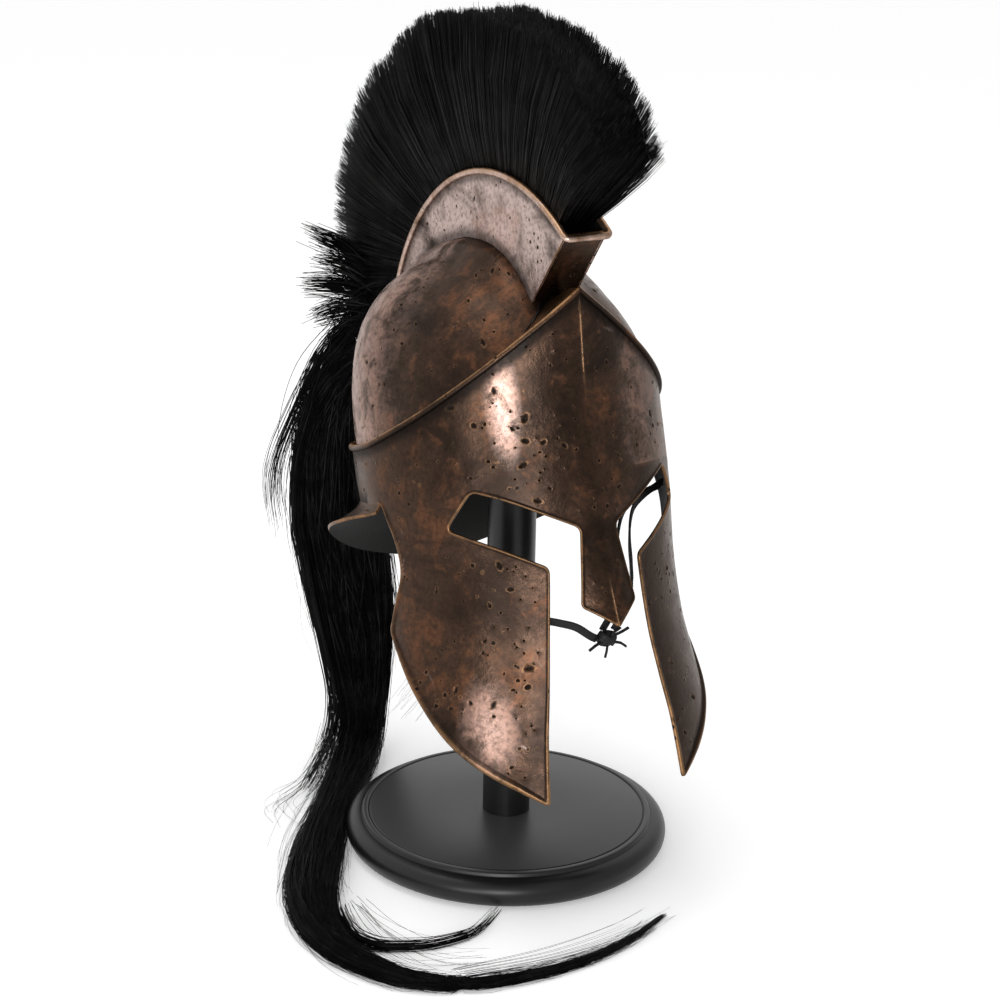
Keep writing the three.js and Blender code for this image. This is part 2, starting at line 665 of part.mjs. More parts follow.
const TAIL_LOCKS = [
  { from: 0, to: 1, shift: 0, lift: 0, share: 0.72 },
  { from: 0.05, to: 0.42, shift: -0.62, lift: 0.1, share: 0.42 },
  { from: 0.05, to: 0.36, shift: 0.66, lift: 0.15, share: 0.4 },
  { from: 0.1, to: 0.78, shift: 0.36, lift: 0.2, share: 0.42 },
  { from: 0.16, to: 0.7, shift: -0.42, lift: 0.15, share: 0.4 },
];

function makeTailHair() {
  return join(TAIL_LOCKS.map(tailLock));
}

// The chin laces

function laceTube(rows) {
  const curve = smoothCurve(rows.map(({ x, y, z }) => vec(x, y, z)));
  const section = new THREE.Shape(Array.from({ length: LACE_SIDES }, (_, k) => {
    const turn = (2 * Math.PI * k) / LACE_SIDES;
    return new THREE.Vector2(LACE_RADIUS * Math.cos(turn), LACE_RADIUS * Math.sin(turn));
  }));
  const steps = Math.round(curve.getLength() / (6 * LACE_RADIUS));
  return new THREE.ExtrudeGeometry(section, { steps, bevelEnabled: false, extrudePath: curve });
}

function makeKnot() {
  const ball = new THREE.SphereGeometry(KNOT.radius, 12, 8);
  return ball.scale(1, 0.8, 0.8).translate(KNOT.x, KNOT.y, KNOT.z);
}

// The stand

function makeBase() {
  const bead = BASE.beadRadius;
  const points = [[0, 0], [BASE.radius - bead, 0]];
  for (let turn = -75; turn <= 80; turn += 31) {
    const out = BASE.radius - bead + bead * Math.cos(turn * DEGREE);
    points.push([out, BASE.beadHeight + bead * Math.sin(turn * DEGREE)]);
  }
  const { topRadius, height } = BASE;
  points.push([topRadius + 1.2, height - 2.6], [topRadius, height - 2], [topRadius - 1, height], [0, height]);
  const lathe = new THREE.LatheGeometry(points.map(([r, z]) => new THREE.Vector2(r, z)), 36);
  return lathe.rotateX(Math.PI / 2);
}

function makePost(helmetPlace) {
  const top = HELMET_HEIGHT + SKULL.rise + 20;
  const neck = HELMET_HEIGHT + SKULL.rise - POST.headHeight;
  const profile = [[0, BASE.height], [POST.radius, BASE.height], [POST.radius, neck - 20]];
  const head = POST.headRadius;
  profile.push([head * 0.8, neck - 4], [head, neck + 8], [head, top], [0, top]);
  const lathe = new THREE.LatheGeometry(profile.map(([r, z]) => new THREE.Vector2(r, z)), 24);
  const inside = shape(skullBlock(-SHEET - CROWN_GAP)).applyMatrix4(helmetPlace);
  const below = new THREE.CylinderGeometry(60, 60, HELMET_HEIGHT + 50, 32).rotateX(Math.PI / 2);
  below.translate(0, 0, (HELMET_HEIGHT + 50) / 2);
  return shape(solid(lathe.rotateX(Math.PI / 2)).intersect(solid(inside).add(solid(below))));
}

// Assembly

const helmet = new THREE.Group();
helmet.rotation.x = -HELMET_TILT * DEGREE;
helmet.position.z = HELMET_HEIGHT;
helmet.updateMatrix();
helmet.add(
  piece('skull', makeSkull(), BRONZE),
  piece('face_plate', makeFacePlate(), BRONZE),
  piece('neck_guard', makeNeckGuard(), BRONZE),
  piece('crest_box', makeCrestBox(), CREST_BRONZE),
  piece('crest_hair', makeCrestHair(), HORSEHAIR),
);

const chinLaces = new THREE.Group();
chinLaces.add(
  piece('lace_near', laceTube(LACE_NEAR), LEATHER),
  piece('lace_far_front', laceTube(LACE_FAR_FRONT), LEATHER),
  piece('lace_far_back', laceTube(LACE_FAR_BACK), LEATHER),
  piece('lace_knot', makeKnot(), LEATHER),
);

const stand = new THREE.Group();
stand.add(
  piece('stand_base', makeBase(), BLACK_WOOD),
  piece('stand_post', makePost(helmet.matrix), BLACK_WOOD),
);

const model = new THREE.Group();
model.add(helmet, piece('tail_hair', makeTailHair(), HORSEHAIR), chinLaces, stand);

export default model;
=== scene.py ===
"""Looks for a Greek bronze helmet with a horsehair crest and tail, on a turned wooden stand.

Shapes are worked out in millimetres and handed to Blender in metres, +Z up, with the face along -Y.
"""

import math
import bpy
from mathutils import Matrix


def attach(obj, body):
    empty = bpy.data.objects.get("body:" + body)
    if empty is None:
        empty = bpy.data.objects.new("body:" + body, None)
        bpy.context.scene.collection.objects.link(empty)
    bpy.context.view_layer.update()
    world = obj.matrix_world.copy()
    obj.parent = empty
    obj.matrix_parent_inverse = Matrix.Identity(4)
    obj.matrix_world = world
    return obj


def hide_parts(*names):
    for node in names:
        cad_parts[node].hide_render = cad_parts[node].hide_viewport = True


bl_info = {
    "name": "Greek Bronze Helmet",
    "version": (1, 0, 0),
    "blender": (4, 5, 0),
    "location": "View3D > Sidebar > Helmet",
    "description": "Sheet metal, horsehair, leather laces and a lacquered stand over the packed solids",
    "category": "Object",
}

import bpy
import numpy as np
from bpy.props import FloatProperty, FloatVectorProperty, IntProperty, PointerProperty
from mathutils import Matrix, Vector, noise
from mathutils.geometry import delaunay_2d_cdt

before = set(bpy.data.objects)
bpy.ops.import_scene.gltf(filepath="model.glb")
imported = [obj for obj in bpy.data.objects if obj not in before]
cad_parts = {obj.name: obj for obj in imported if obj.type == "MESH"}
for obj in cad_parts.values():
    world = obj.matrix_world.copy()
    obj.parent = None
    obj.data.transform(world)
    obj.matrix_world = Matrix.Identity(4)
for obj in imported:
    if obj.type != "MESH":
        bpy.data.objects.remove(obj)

MM = 0.001
TINY = 1e-9

# Sizes repeated from the solids, in millimetres in the helmet's own frame

HELMET_TILT = math.radians(16)
HELMET_HEIGHT = 304
SHEET = 1.5
SKULL_HALF_WIDTH, SKULL_MIDDLE, SKULL_FRONT, SKULL_BACK = 97, 8, 106, 119
SKULL_START, SKULL_RISE, SKULL_FRONT_SHAPE = -10, 118, 1.87
SKULL_REAR_ROUNDNESS, SKULL_FRONT_ROUNDNESS, SKULL_BLEND = 2.8, 1.95, (-0.3, 0.4)
COMB_HEIGHT, COMB_INSIDE, COMB_OUTSIDE, COMB_FROM, COMB_TO = 8.7, 19, 37, 45, 92

# Plan sections of the lower bowl: height, half width, middle, front, back, shape, keel
BOWL_NAMES = ("height", "half_width", "middle", "front", "back", "shape", "keel")
BOWL = np.array([
    (-250, 114, 6, 106, 102, 1.8, 2),
    (-200, 113, 6, 104, 104, 1.8, 2),
    (-170, 107, 6, 103, 105, 1.8, 3),
    (-140, 101, 6, 102, 106, 1.82, 4),
    (-100, 98.5, 6, 103, 107, 1.84, 4),
    (-60, 100, 7, 106, 113, 1.88, 4),
    (-20, 100, 8, 106.5, 121, 1.9, 4),
    (20, 99.5, 8, 107, 122.5, 1.9, 4),
    (80, 97, 8, 113, 122, 1.87, 4),
])
KEEL_HALF_WIDTH = 42
NOSE_FROM, NOSE_TO, NOSE_KICK, NOSE_FADE, NOSE_HALF_WIDTH = -66, -133, 14.5, 37, 30

# The ridge between the two bowls: degrees round from the front, height
RIDGE = np.array([
    (0, 75.5), (15, 57.6), (30, 39.8), (45, 23.4), (60, 9.6),
    (75, -0.6), (90, -7.3), (105, -10.6), (120, -11), (180, -11),
])
RIDGE_ROLL = 2.3
NECK_ROOT = -46

# Lower outline of the bowl on one side: degrees round, height, corner radius, radius of its rolled edge
FACE_OUTLINE = (
    (13, -118.4, 3, 0.9),
    (8.2, -70.2, 4, 0.9),
    (33, -48.2, 30, 0.9),
    (44.4, -41, 5, 0.9),
    (55.2, -63.4, 6, 0.9),
    (38, -76.4, 30, 0.9),
    (20.5, -92.4, 4, 0.9),
    (23, -143, 60, 0.9),
    (27.4, -240, 4, 1.2),
    (50, -212, 30, 2.2),
    (71, -171.5, 40, 2.2),
    (93, -127.5, 6, 1.7),
    (79, -90, 30, 1.2),
    (79.6, -70, 20, 1.2),
    (86.5, NECK_ROOT, 4, 1.0),
)
NOSE_TIP = (0, -133)
DEGREE_LENGTH = 1.75

# The flared neck guard: degrees round, outward flare, height of its rim
NECK_RIM = np.array([(89, 3, -51), (104, 16, -55), (122, 25, -63), (150, 31, -84), (180, 34, -100)])
NECK_LENGTH = 62

CREST_HALF_WIDTH, CREST_ARC_MIDDLE, CREST_ARC_HEIGHT, CREST_ARC_RADIUS = 15, -5.5, -3.5, 160.5
CREST_TOP, CREST_FOOT, CREST_FOOT_HEIGHT, CREST_REAR = -121, -28, 40, 134

# The brush: its middle, degrees round it where the roots and the tips start and end, and its reach
FAN_MIDDLE, FAN_HEIGHT = 8, 52
FAN_ROOTS, FAN_TIPS = (12.5, 152), (3, 153.5)
FAN_ROOT_HALF, FAN_TIP_HALF = 12.6, 22
FAN_REACH = np.array([
    (3, 189), (12, 198), (24, 211), (34, 220), (46, 216), (58, 212), (70, 207), (96, 207), (110, 207),
    (120, 210), (132, 217), (144, 220), (152, 213),
])

# The tail's hair in the upright frame, flatter on the floor than its solid: x, y, z along its middle,
# half width across, half thickness
TAIL = np.array([
    (0, 136, 316, 18.3, 6), (0, 150, 311, 18.3, 8), (-8, 169, 302, 19, 12), (-22, 185, 285, 22, 16),
    (-37, 192, 244, 28, 19), (-40, 190, 184, 31, 20), (-31, 187, 113, 29, 17), (-25, 183, 54, 22, 13),
    (-34, 164, 16, 18, 10), (-59, 126, 8.5, 17, 9), (-94, 79, 7.5, 15, 8), (-133, 18, 7.5, 19, 8),
    (-163, -41, 7.5, 19, 8), (-172, -96, 6, 14, 6), (-153, -147, 4.6, 8, 4.2), (-114, -174, 3.6, 5.5, 3),
    (-60, -180, 2.9, 4, 2.2), (-8, -170, 2.2, 2.8, 1.5), (40, -146, 1.6, 1.8, 0.9),
])

# Chin laces in the upright frame, from inside each temple to the knot
LACE_NEAR = np.array([
    (-89.9, -40, 257), (-84, -50, 244), (-72, -67, 228), (-56, -87, 213), (-40, -102, 205.5),
    (-25, -110, 202), (-14.5, -113.5, 198.6), (-5.5, -116, 192.2), (-0.9, -116, 189.5),
])
LACE_FAR_FRONT = np.array([
    (89.9, -40, 257), (79, -49, 258), (64.5, -61, 259), (46, -79, 259.5), (36.5, -90, 255),
    (31.5, -98, 244), (29.5, -104.5, 229), (27.5, -109, 216), (21.5, -112, 203), (13.7, -112, 191.5),
])
LACE_FAR_BACK = np.array([
    (89.9, -36.4, 253.4), (77.7, -45.4, 255.1), (61.9, -57.4, 256.8), (42.1, -75.4, 258.1),
    (31.3, -86.4, 254.3), (25, -94.4, 244), (23, -100.9, 229), (21, -105.4, 216), (15, -108.4, 203),
    (7.3, -108.7, 190.9),
])
KNOT = np.array((6.5, -116, 188.5))

BASE_RADIUS, BASE_HEIGHT, BASE_TOP_RADIUS, BASE_BEAD, BASE_BEAD_HEIGHT = 109.5, 22.4, 98.5, 9.4, 10
POST_RADIUS, POST_HEAD_RADIUS, POST_HEAD_HEIGHT, CROWN_GAP = 16, 32, 46, 1.7


class MetalSettings(bpy.types.PropertyGroup):
    """The beaten metal's fine shape and colours."""

    spacing: FloatProperty(
        name="Mesh Spacing", description="Distance between points of the sheet away from its edges",
        default=0.0038, min=0.002, unit="LENGTH", subtype="DISTANCE")
    hammer: FloatProperty(
        name="Hammer Marks", description="Height of the uneven beaten surface",
        default=0.00028, min=0, unit="LENGTH", subtype="DISTANCE")
    face_pits: IntProperty(
        name="Face Pits", description="Pits in the lower bowl and cheek plates", default=250, min=0)
    skull_pits: IntProperty(
        name="Skull Pits", description="Pits in the upper bowl", default=300, min=0)
    neck_pits: IntProperty(
        name="Neck Pits", description="Pits in the neck guard", default=50, min=0)
    crest_pits: IntProperty(
        name="Crest Pits", description="Pits in each side plate of the crest", default=42, min=0)
    seed: IntProperty(name="Seed", description="Fixes where the pits lie", default=11)
    brown: FloatVectorProperty(
        name="Brown", description="Dark patina", default=(0.048, 0.0262, 0.0165),
        min=0, max=1, subtype="COLOR")
    copper: FloatVectorProperty(
        name="Copper", description="Warm blotches", default=(0.21, 0.08, 0.034),
        min=0, max=1, subtype="COLOR")
    violet: FloatVectorProperty(
        name="Violet", description="Grey violet sheen", default=(0.55, 0.425, 0.39),
        min=0, max=1, subtype="COLOR")
    # Gold also stands on the tops of the rolled rims as a painted highlight.
    gold: FloatVectorProperty(
        name="Gold", description="Worn edges", default=(0.5, 0.27, 0.12),
        min=0, max=1, subtype="COLOR")


class HairSettings(bpy.types.PropertyGroup):
    """The horsehair of the crest and the tail."""

    bristles: IntProperty(
        name="Bristles", description="Bristles in each half of the crest", default=9000, min=100)
    bristle_radius: FloatProperty(
        name="Bristle Radius", description="Radius of a bristle at its root",
        default=0.00034, min=0.0001, unit="LENGTH", subtype="DISTANCE")
    ruffle: FloatProperty(
        name="Ruffle", description="How far the tips stray",
        default=0.009, min=0, unit="LENGTH", subtype="DISTANCE")
    tail_strands: IntProperty(
        name="Tail Strands", description="Strands in each half of the tail", default=880, min=100)
    strand_radius: FloatProperty(
        name="Strand Radius", description="Radius of a tail strand",
        default=0.00042, min=0.0001, unit="LENGTH", subtype="DISTANCE")
    strays: IntProperty(
        name="Strays", description="Loose single hairs round the tail", default=520, min=0)
    seed: IntProperty(name="Seed", description="Fixes how the hair falls", default=5)
    colour: FloatVectorProperty(
        name="Colour", description="Black horsehair", default=(0.0028, 0.0026, 0.0026),
        min=0, max=1, subtype="COLOR")


class LaceSettings(bpy.types.PropertyGroup):
    """The flat leather chin laces."""

    width: FloatProperty(
        name="Width", description="Width of a lace",
        default=0.0052, min=0.002, unit="LENGTH", subtype="DISTANCE")
    thickness: FloatProperty(
        name="Thickness", description="Thickness of a lace",
        default=0.0016, min=0.0005, unit="LENGTH", subtype="DISTANCE")
    colour: FloatVectorProperty(
        name="Colour", description="Black leather", default=(0.008, 0.0078, 0.0082),
        min=0, max=1, subtype="COLOR")


class StandSettings(bpy.types.PropertyGroup):
    """The turned stand."""

    segments: IntProperty(
        name="Segments", description="Sides of the turned shapes", default=160, min=24)
    colour: FloatVectorProperty(
        name="Colour", description="Black lacquer", default=(0.005, 0.005, 0.0054),
        min=0, max=1, subtype="COLOR")
    gloss: FloatProperty(
        name="Roughness", description="Roughness of the lacquer", default=0.36, min=0, max=1,
        subtype="FACTOR")


class StageSettings(bpy.types.PropertyGroup):
    """Floor and studio light."""

    floor: FloatVectorProperty(
        name="Floor", description="Pale floor", default=(0.9, 0.9, 0.9),
        min=0, max=1, subtype="COLOR")
    key: FloatProperty(
        name="Key Light", description="Power of the soft box under the camera", default=9,
        min=0, unit="POWER")
    top: FloatProperty(
        name="Top Light", description="Power of the soft box overhead", default=9, min=0, unit="POWER")
    fill: FloatProperty(
        name="Fill Light", description="Power of the small soft box on the near side", default=3.5,
        min=0, unit="POWER")


# Curves and surfaces

def along(keys, values, place):
    """Smooth values of a table's column, at places along its keys."""
    keys, values = np.asarray(keys, float), np.asarray(values, float)
    last = len(keys) - 1
    at = np.clip(place, keys[0], keys[-1])
    i = np.clip(np.searchsorted(keys, at) - 1, 0, last - 1)
    before, after = np.maximum(np.arange(last + 1) - 1, 0), np.minimum(np.arange(last + 1) + 1, last)
    slope = (values[after] - values[before]) / (keys[after] - keys[before])
    span = keys[i + 1] - keys[i]
    t = (at - keys[i]) / span
    rise = values[i + 1] - values[i]
    bend_in, bend_out = slope[i] * span - rise, rise - slope[i + 1] * span
    return values[i] + rise * t + t * (1 - t) * (bend_in * (1 - t) + bend_out * t)


def smoothstep(value, low, high):
    t = np.clip((value - low) / (high - low), 0, 1)
    return t * t * (3 - 2 * t)


def signed_power(value, power):
    return np.sign(value) * np.abs(value) ** power


def hump(value, middle, width):
    """A bell curve, one at its middle and falling off over its width."""
    return np.exp(-((value - middle) / width) ** 2)


def highlight_spot(u, v, spot):
    """Brightness of a painted highlight: its middle and width along u, the same along v, and its strength."""
    u_middle, u_width, v_middle, v_width, strength = spot
    return strength * hump(u, u_middle, u_width) * hump(v, v_middle, v_width)


def full_turn(count):
    return np.linspace(0, 2 * math.pi, count, endpoint=False)


def unit(vectors):
    """Vectors along the last axis, each of length one."""
    return vectors / np.maximum(np.linalg.norm(vectors, axis=-1, keepdims=True), TINY)


def to_world(points):
    """From millimetres in the helmet's leaning frame to millimetres in the upright frame."""
    x, y, z = np.asarray(points, float).T
    c, s = math.cos(HELMET_TILT), math.sin(HELMET_TILT)
    return np.stack((x, y * c + z * s, z * c - y * s + HELMET_HEIGHT), axis=1)


def to_helmet(points):
    """From millimetres in the upright frame to the helmet's leaning frame."""
    x, y, z = np.asarray(points, float).T
    c, s = math.cos(HELMET_TILT), math.sin(HELMET_TILT)
    z = z - HELMET_HEIGHT
    return np.stack((x, y * c - z * s, y * s + z * c), axis=1)


def ridge_height(angle):
    away = np.abs((np.asarray(angle, float) + 180) % 360 - 180)
    return along(RIDGE[:, 0], RIDGE[:, 1], away)


def comb_height(x, z):
    nearness = 1 - smoothstep(np.abs(x), COMB_INSIDE, COMB_OUTSIDE)
    return COMB_HEIGHT * nearness * smoothstep(z, COMB_FROM, COMB_TO)


def skull_roundness(ahead):
    """Exponent of the dome's profile, with ahead from 1 straight ahead to -1 straight behind."""
    change = SKULL_FRONT_ROUNDNESS - SKULL_REAR_ROUNDNESS
    return SKULL_REAR_ROUNDNESS + change * smoothstep(ahead, *SKULL_BLEND)


def skull_point(angle, climb, offset=0):
    """The dome at degrees round from the front and degrees up from its start."""
    side, ahead = np.sin(np.radians(angle)), np.cos(np.radians(angle))
    power = 2 / np.where(ahead > 0, SKULL_FRONT_SHAPE, 2)
    reach = np.where(ahead > 0, SKULL_FRONT, SKULL_BACK) + offset
    profile = 2 / skull_roundness(ahead)
    narrowing = np.maximum(np.cos(np.radians(climb)), 0) ** profile
    x = (SKULL_HALF_WIDTH + offset) * narrowing * signed_power(side, power)
    y = SKULL_MIDDLE - reach * narrowing * signed_power(ahead, power)
    lift = np.maximum(np.sin(np.radians(climb)), 0) ** profile
    z = SKULL_START + (SKULL_RISE + offset) * lift
    return np.stack((x, y, z + comb_height(x, z)), axis=-1)


def climb_at(height, angle):
    """Degrees up from the dome's start at which it reaches a height."""
    share = np.clip((np.asarray(height, float) - SKULL_START) / SKULL_RISE, 0, 1)
    return np.degrees(np.arcsin(share ** (skull_roundness(np.cos(np.radians(angle))) / 2)))


def plan_angle(x, y):
    """Degrees round from the front of a place in the dome's plan."""
    ahead = SKULL_MIDDLE - y
    power = np.where(ahead > 0, SKULL_FRONT_SHAPE, 2.0) / 2
    reach = np.where(ahead > 0, SKULL_FRONT, SKULL_BACK)
    return np.degrees(np.arctan2((np.abs(x) / SKULL_HALF_WIDTH) ** power,
                                 signed_power(ahead / reach, power)))


def skull_top(x, y, offset=0):
    """Height of the dome over a place in its plan, or its start outside of it."""
    ahead = SKULL_MIDDLE - y
    power = np.where(ahead > 0, SKULL_FRONT_SHAPE, 2.0)
    reach = np.where(ahead > 0, SKULL_FRONT, SKULL_BACK) + offset
    spread = (np.abs(x) / (SKULL_HALF_WIDTH + offset)) ** power + (np.abs(ahead) / reach) ** power
    narrowing = np.minimum(spread ** (1 / power), 1)
    roundness = skull_roundness(np.cos(np.radians(plan_angle(x, y))))
    lift = np.maximum(1 - narrowing ** roundness, 0) ** (1 / roundness)
    z = SKULL_START + (SKULL_RISE + offset) * lift
    return z + comb_height(x, z)


def bowl_size(name, height):
    return along(BOWL[:, 0], BOWL[:, BOWL_NAMES.index(name)], height)


def bowl_point(angle, height, offset=0):
    """The lower bowl, cheeks and nose guard at degrees round from the front and a height."""
    side, ahead = np.sin(np.radians(angle)), np.cos(np.radians(angle))
    facing = ahead > 0
    power = 2 / np.where(facing, bowl_size("shape", height), 2)
    keel = np.where(facing, bowl_size("keel", height), 0)
    reach = np.where(facing, bowl_size("front", height), bowl_size("back", height)) - keel + offset
    x = (bowl_size("half_width", height) + offset) * signed_power(side, power)
    y = bowl_size("middle", height) - reach * signed_power(ahead, power)
    y = y - keel * np.maximum(1 - np.abs(x) / KEEL_HALF_WIDTH, 0) ** 1.5
    drop = np.clip((NOSE_FROM - height) / (NOSE_FROM - NOSE_TO), 0, 1.2)
    width = np.where(facing & (np.abs(x) < NOSE_HALF_WIDTH), 1 - (x / NOSE_FADE) ** 2, 0)
    return np.stack((x, y - NOSE_KICK * drop ** 1.2 * width, height + 0 * x), axis=-1)


def neck_point(angle, share):
    """The neck guard at degrees round from the front and a share of the way to its rim."""
    turn = np.minimum(angle, 360 - angle)
    flare = along(NECK_RIM[:, 0], NECK_RIM[:, 1], turn)
    rim = along(NECK_RIM[:, 0], NECK_RIM[:, 2], turn)
    share = np.clip(share, 0, 1)
    return bowl_point(angle, NECK_ROOT + (rim - NECK_ROOT) * share, flare * share ** 1.6)


def crest_arc(y, drop=0):
    return CREST_ARC_HEIGHT + np.sqrt((CREST_ARC_RADIUS - drop) ** 2 - (y - CREST_ARC_MIDDLE) ** 2)


# Flat outlines

BATCH = 1500  # points compared with an outline at a time


def round_corners(rows, steps=7):
    """Points of an open outline with its corners rounded, with the rolled edge's radius at each."""
    corners = np.array([row[:2] for row in rows], float)
    points = [(*corners[0], rows[0][3])]
    for i in range(1, len(rows) - 1):
        corner, radius, roll = corners[i], rows[i][2], rows[i][3]
        before, after = corners[i - 1] - corner, corners[i + 1] - corner
        shorter = min(np.linalg.norm(before), np.linalg.norm(after))
        reach = min(radius, 0.48 * shorter)
        start, end = corner + unit(before) * reach, corner + unit(after) * reach
        for t in np.linspace(0, 1, steps):
            bend = start * (1 - t) ** 2 + corner * 2 * t * (1 - t) + end * t * t
            points.append((*bend, roll))
    points.append((*corners[-1], rows[-1][3]))
    return np.array(points)


def divide(loop, step):
    """A closed outline with its long edges divided."""
    fine = []
    for i, start in enumerate(loop):
        end = loop[(i + 1) % len(loop)]
        count = max(1, int(math.ceil(np.linalg.norm(end[:2] - start[:2]) / step)))
        fine += [start + (end - start) * k / count for k in range(count)]
    return np.array(fine)


def turn_left(loop):
    """The outline with its inside on the left."""
    x, y = loop[:, 0], loop[:, 1]
    area = np.sum(x * np.roll(y, -1) - np.roll(x, -1) * y)
    return loop if area > 0 else loop[::-1].copy()


def edge_distance(points, loop):
    """Distance of each flat point from a closed outline, and the nearest edge's number."""
    start, end = loop[:, :2], np.roll(loop[:, :2], -1, axis=0)
    run = end - start
    length = np.maximum(np.sum(run ** 2, axis=1), TINY)
    distance, nearest = np.empty(len(points)), np.empty(len(points), int)
    for first in range(0, len(points), BATCH):
        batch = slice(first, first + BATCH)
        away = points[batch, None, :] - start[None]
        t = np.clip(np.sum(away * run, axis=2) / length, 0, 1)
        gap = np.linalg.norm(away - t[..., None] * run, axis=2)
        nearest[batch] = np.argmin(gap, axis=1)
        distance[batch] = np.min(gap, axis=1)
    return distance, nearest


def inside(points, loop):
    """Which flat points lie inside a closed outline."""
    x0, y0 = loop[:, 0], loop[:, 1]
    x1, y1 = np.roll(x0, -1), np.roll(y0, -1)
    rise = np.where(y1 == y0, TINY, y1 - y0)
    result = np.empty(len(points), bool)
    for first in range(0, len(points), BATCH):
        batch = slice(first, first + BATCH)
        x, y = points[batch, 0, None], points[batch, 1, None]
        crossed = ((y0 > y) != (y1 > y)) & (x < (x1 - x0) * (y - y0) / rise + x0)
        result[batch] = np.sum(crossed, axis=1) % 2 == 1
    return result


# Pits: u, v, radius, stretch, turn and depth of each

PIT_TRIES = 40
PIT_GROUP_SPREAD = 11
PIT_ALONE_SHARE = 0.4
PIT_EDGE_GAP = 3
PIT_SMALLEST, PIT_GROWTH = 0.45, 1.2
PIT_STRETCH = 2.3
PIT_RINGS = ((0.45, 5), (0.85, 8), (1.2, 9), (1.7, 9))  # reach in radii, points
PIT_CLEAR = 2.1  # radii round a pit that hold only its own points


def scatter_pits(loop, count, seed):
    """Pits inside an outline, most of them in loose groups."""
    draw = np.random.default_rng(seed)
    low, high = loop[:, :2].min(axis=0), loop[:, :2].max(axis=0)
    groups = draw.uniform(low, high, (max(3, count // 6), 2))
    pits = []
    for _ in range(PIT_TRIES):
        many = count * 2
        spots = groups[draw.integers(len(groups), size=many)] + draw.normal(0, PIT_GROUP_SPREAD, (many, 2))
        alone = draw.random(many) < PIT_ALONE_SHARE
        spots[alone] = draw.uniform(low, high, (int(alone.sum()), 2))
        radius = PIT_SMALLEST + PIT_GROWTH * draw.random(many) ** 4
        shape = np.stack((draw.uniform(1, PIT_STRETCH, many), draw.uniform(0, math.pi, many)), axis=1)
        fits = inside(spots, loop)
        fits &= edge_distance(spots, loop)[0] > PIT_EDGE_GAP + 2 * radius
        for spot, size, (stretch, turn), good in zip(spots, radius, shape, fits):
            near = any(math.dist(spot, p[:2]) < 1.2 * (size * stretch + p[2] * p[3]) for p in pits)
            if good and not near and len(pits) < count:
                pits.append((*spot, size, stretch, turn, 0.45 + 0.3 * size))
        if len(pits) >= count:
            break
    return np.array(pits).reshape(-1, 6)


def pit_reach(points, pits):
    """Distance of each flat point from each pit's middle, in radii of that pit."""
    away = points[:, None, :] - pits[None, :, :2]
    c, s = np.cos(pits[:, 4]), np.sin(pits[:, 4])
    a, b = away[..., 0] * c + away[..., 1] * s, away[..., 1] * c - away[..., 0] * s
    return np.sqrt((a / pits[:, 3]) ** 2 + b ** 2) / pits[:, 2]


def pit_points(pits):
    """Rings of points that give each pit its shape."""
    points = [pits[:, :2]]
    for reach, count in PIT_RINGS:
        for k in range(count):
            turn = 2 * math.pi * (k + 0.5 * (count % 2)) / count
            a, b = reach * pits[:, 2] * pits[:, 3] * math.cos(turn), reach * pits[:, 2] * math.sin(turn)
            c, s = np.cos(pits[:, 4]), np.sin(pits[:, 4])
            points.append(pits[:, :2] + np.stack((a * c - b * s, a * s + b * c), axis=1))
    return np.vstack(points)


# Mesh parts on their way to becoming pieces

class Part:
    """Points, faces, each point's wear, pit and sheen values and each face's finish; besides real wear and
    pits these carry painted highlights, painted sheen and painted shade, and each hair's tone.
    """

    def __init__(self, points, faces, wear=0.0, pit=0.0, polish=0.0, finish=0):
        self.points = np.asarray(points, float)
        self.faces = [tuple(int(i) for i in face) for face in faces]
        self.wear = np.zeros(len(self.points)) + wear
        self.pit = np.zeros(len(self.points)) + pit
        self.polish = np.zeros(len(self.points)) + polish
        self.finish = np.zeros(len(self.faces), int) + finish


def joined(parts):
    """Several parts as one."""
    faces, start = [], 0
    for part in parts:
        faces += [tuple(i + start for i in face) for face in part.faces]
        start += len(part.points)
    gathered = [np.concatenate([getattr(p, name) for p in parts])
                for name in ("wear", "pit", "polish", "finish")]
    return Part(np.vstack([p.points for p in parts]), faces, *gathered)


def surface_normals(place, u, v, step=0.05):
    du = place(u + step, v) - place(u - step, v)
    dv = place(u, v + step) - place(u, v - step)
    return unit(np.cross(du, dv))


# Sheet metal

ROLL_RINGS = (0.4, 0.85, 1.3, 1.75, 2.2, 3.0)  # rows of points beside a rolled edge, in its radii
ROLL_HEIGHT, ROLL_END = 0.7, 2
GROOVE_DEPTH, GROOVE_WIDTH = 0.2, 1.4
GRID_ROW = 0.87  # height of an even triangle of side one
FOLD_COLUMNS, FOLD_STEP = (-1.8, -0.8, 0, 0.8, 1.8), 2.0
FOLD_HALF_WIDTH, FOLD_EDGE_GAP, FOLD_HEIGHT = 2.6, 2.5, 0.4
BROAD_DENT, SMALL_DENT, SMALL_DENT_SHARE = 30, 11, 0.35


def beaten(points, height, seed):
    """Uneven height of a hand-beaten surface, at points in millimetres."""
    shift = Vector((seed * 7.1, 0, 0))
    broad = [noise.noise(Vector(p) / BROAD_DENT + shift) for p in points]
    small = [noise.noise(Vector(p) / SMALL_DENT - shift) for p in points]
    return height / MM * (np.array(broad) + SMALL_DENT_SHARE * np.array(small))


def roll_points(loop):
    """Rows of flat points beside the rolled edges of an outline."""
    outline = loop[:, :2]
    ahead = unit(np.roll(outline, -1, axis=0) - np.roll(outline, 1, axis=0))
    inward = np.stack((-ahead[:, 1], ahead[:, 0]), axis=1)
    rolled = loop[:, 2] > 0
    rows = []
    for share in ROLL_RINGS:
        reach = share * loop[rolled, 2]
        row = outline[rolled] + inward[rolled] * reach[:, None]
        clear = edge_distance(row, loop)[0] > 0.9 * reach
        rows.append(row[clear & inside(row, loop)])
    return np.vstack(rows)


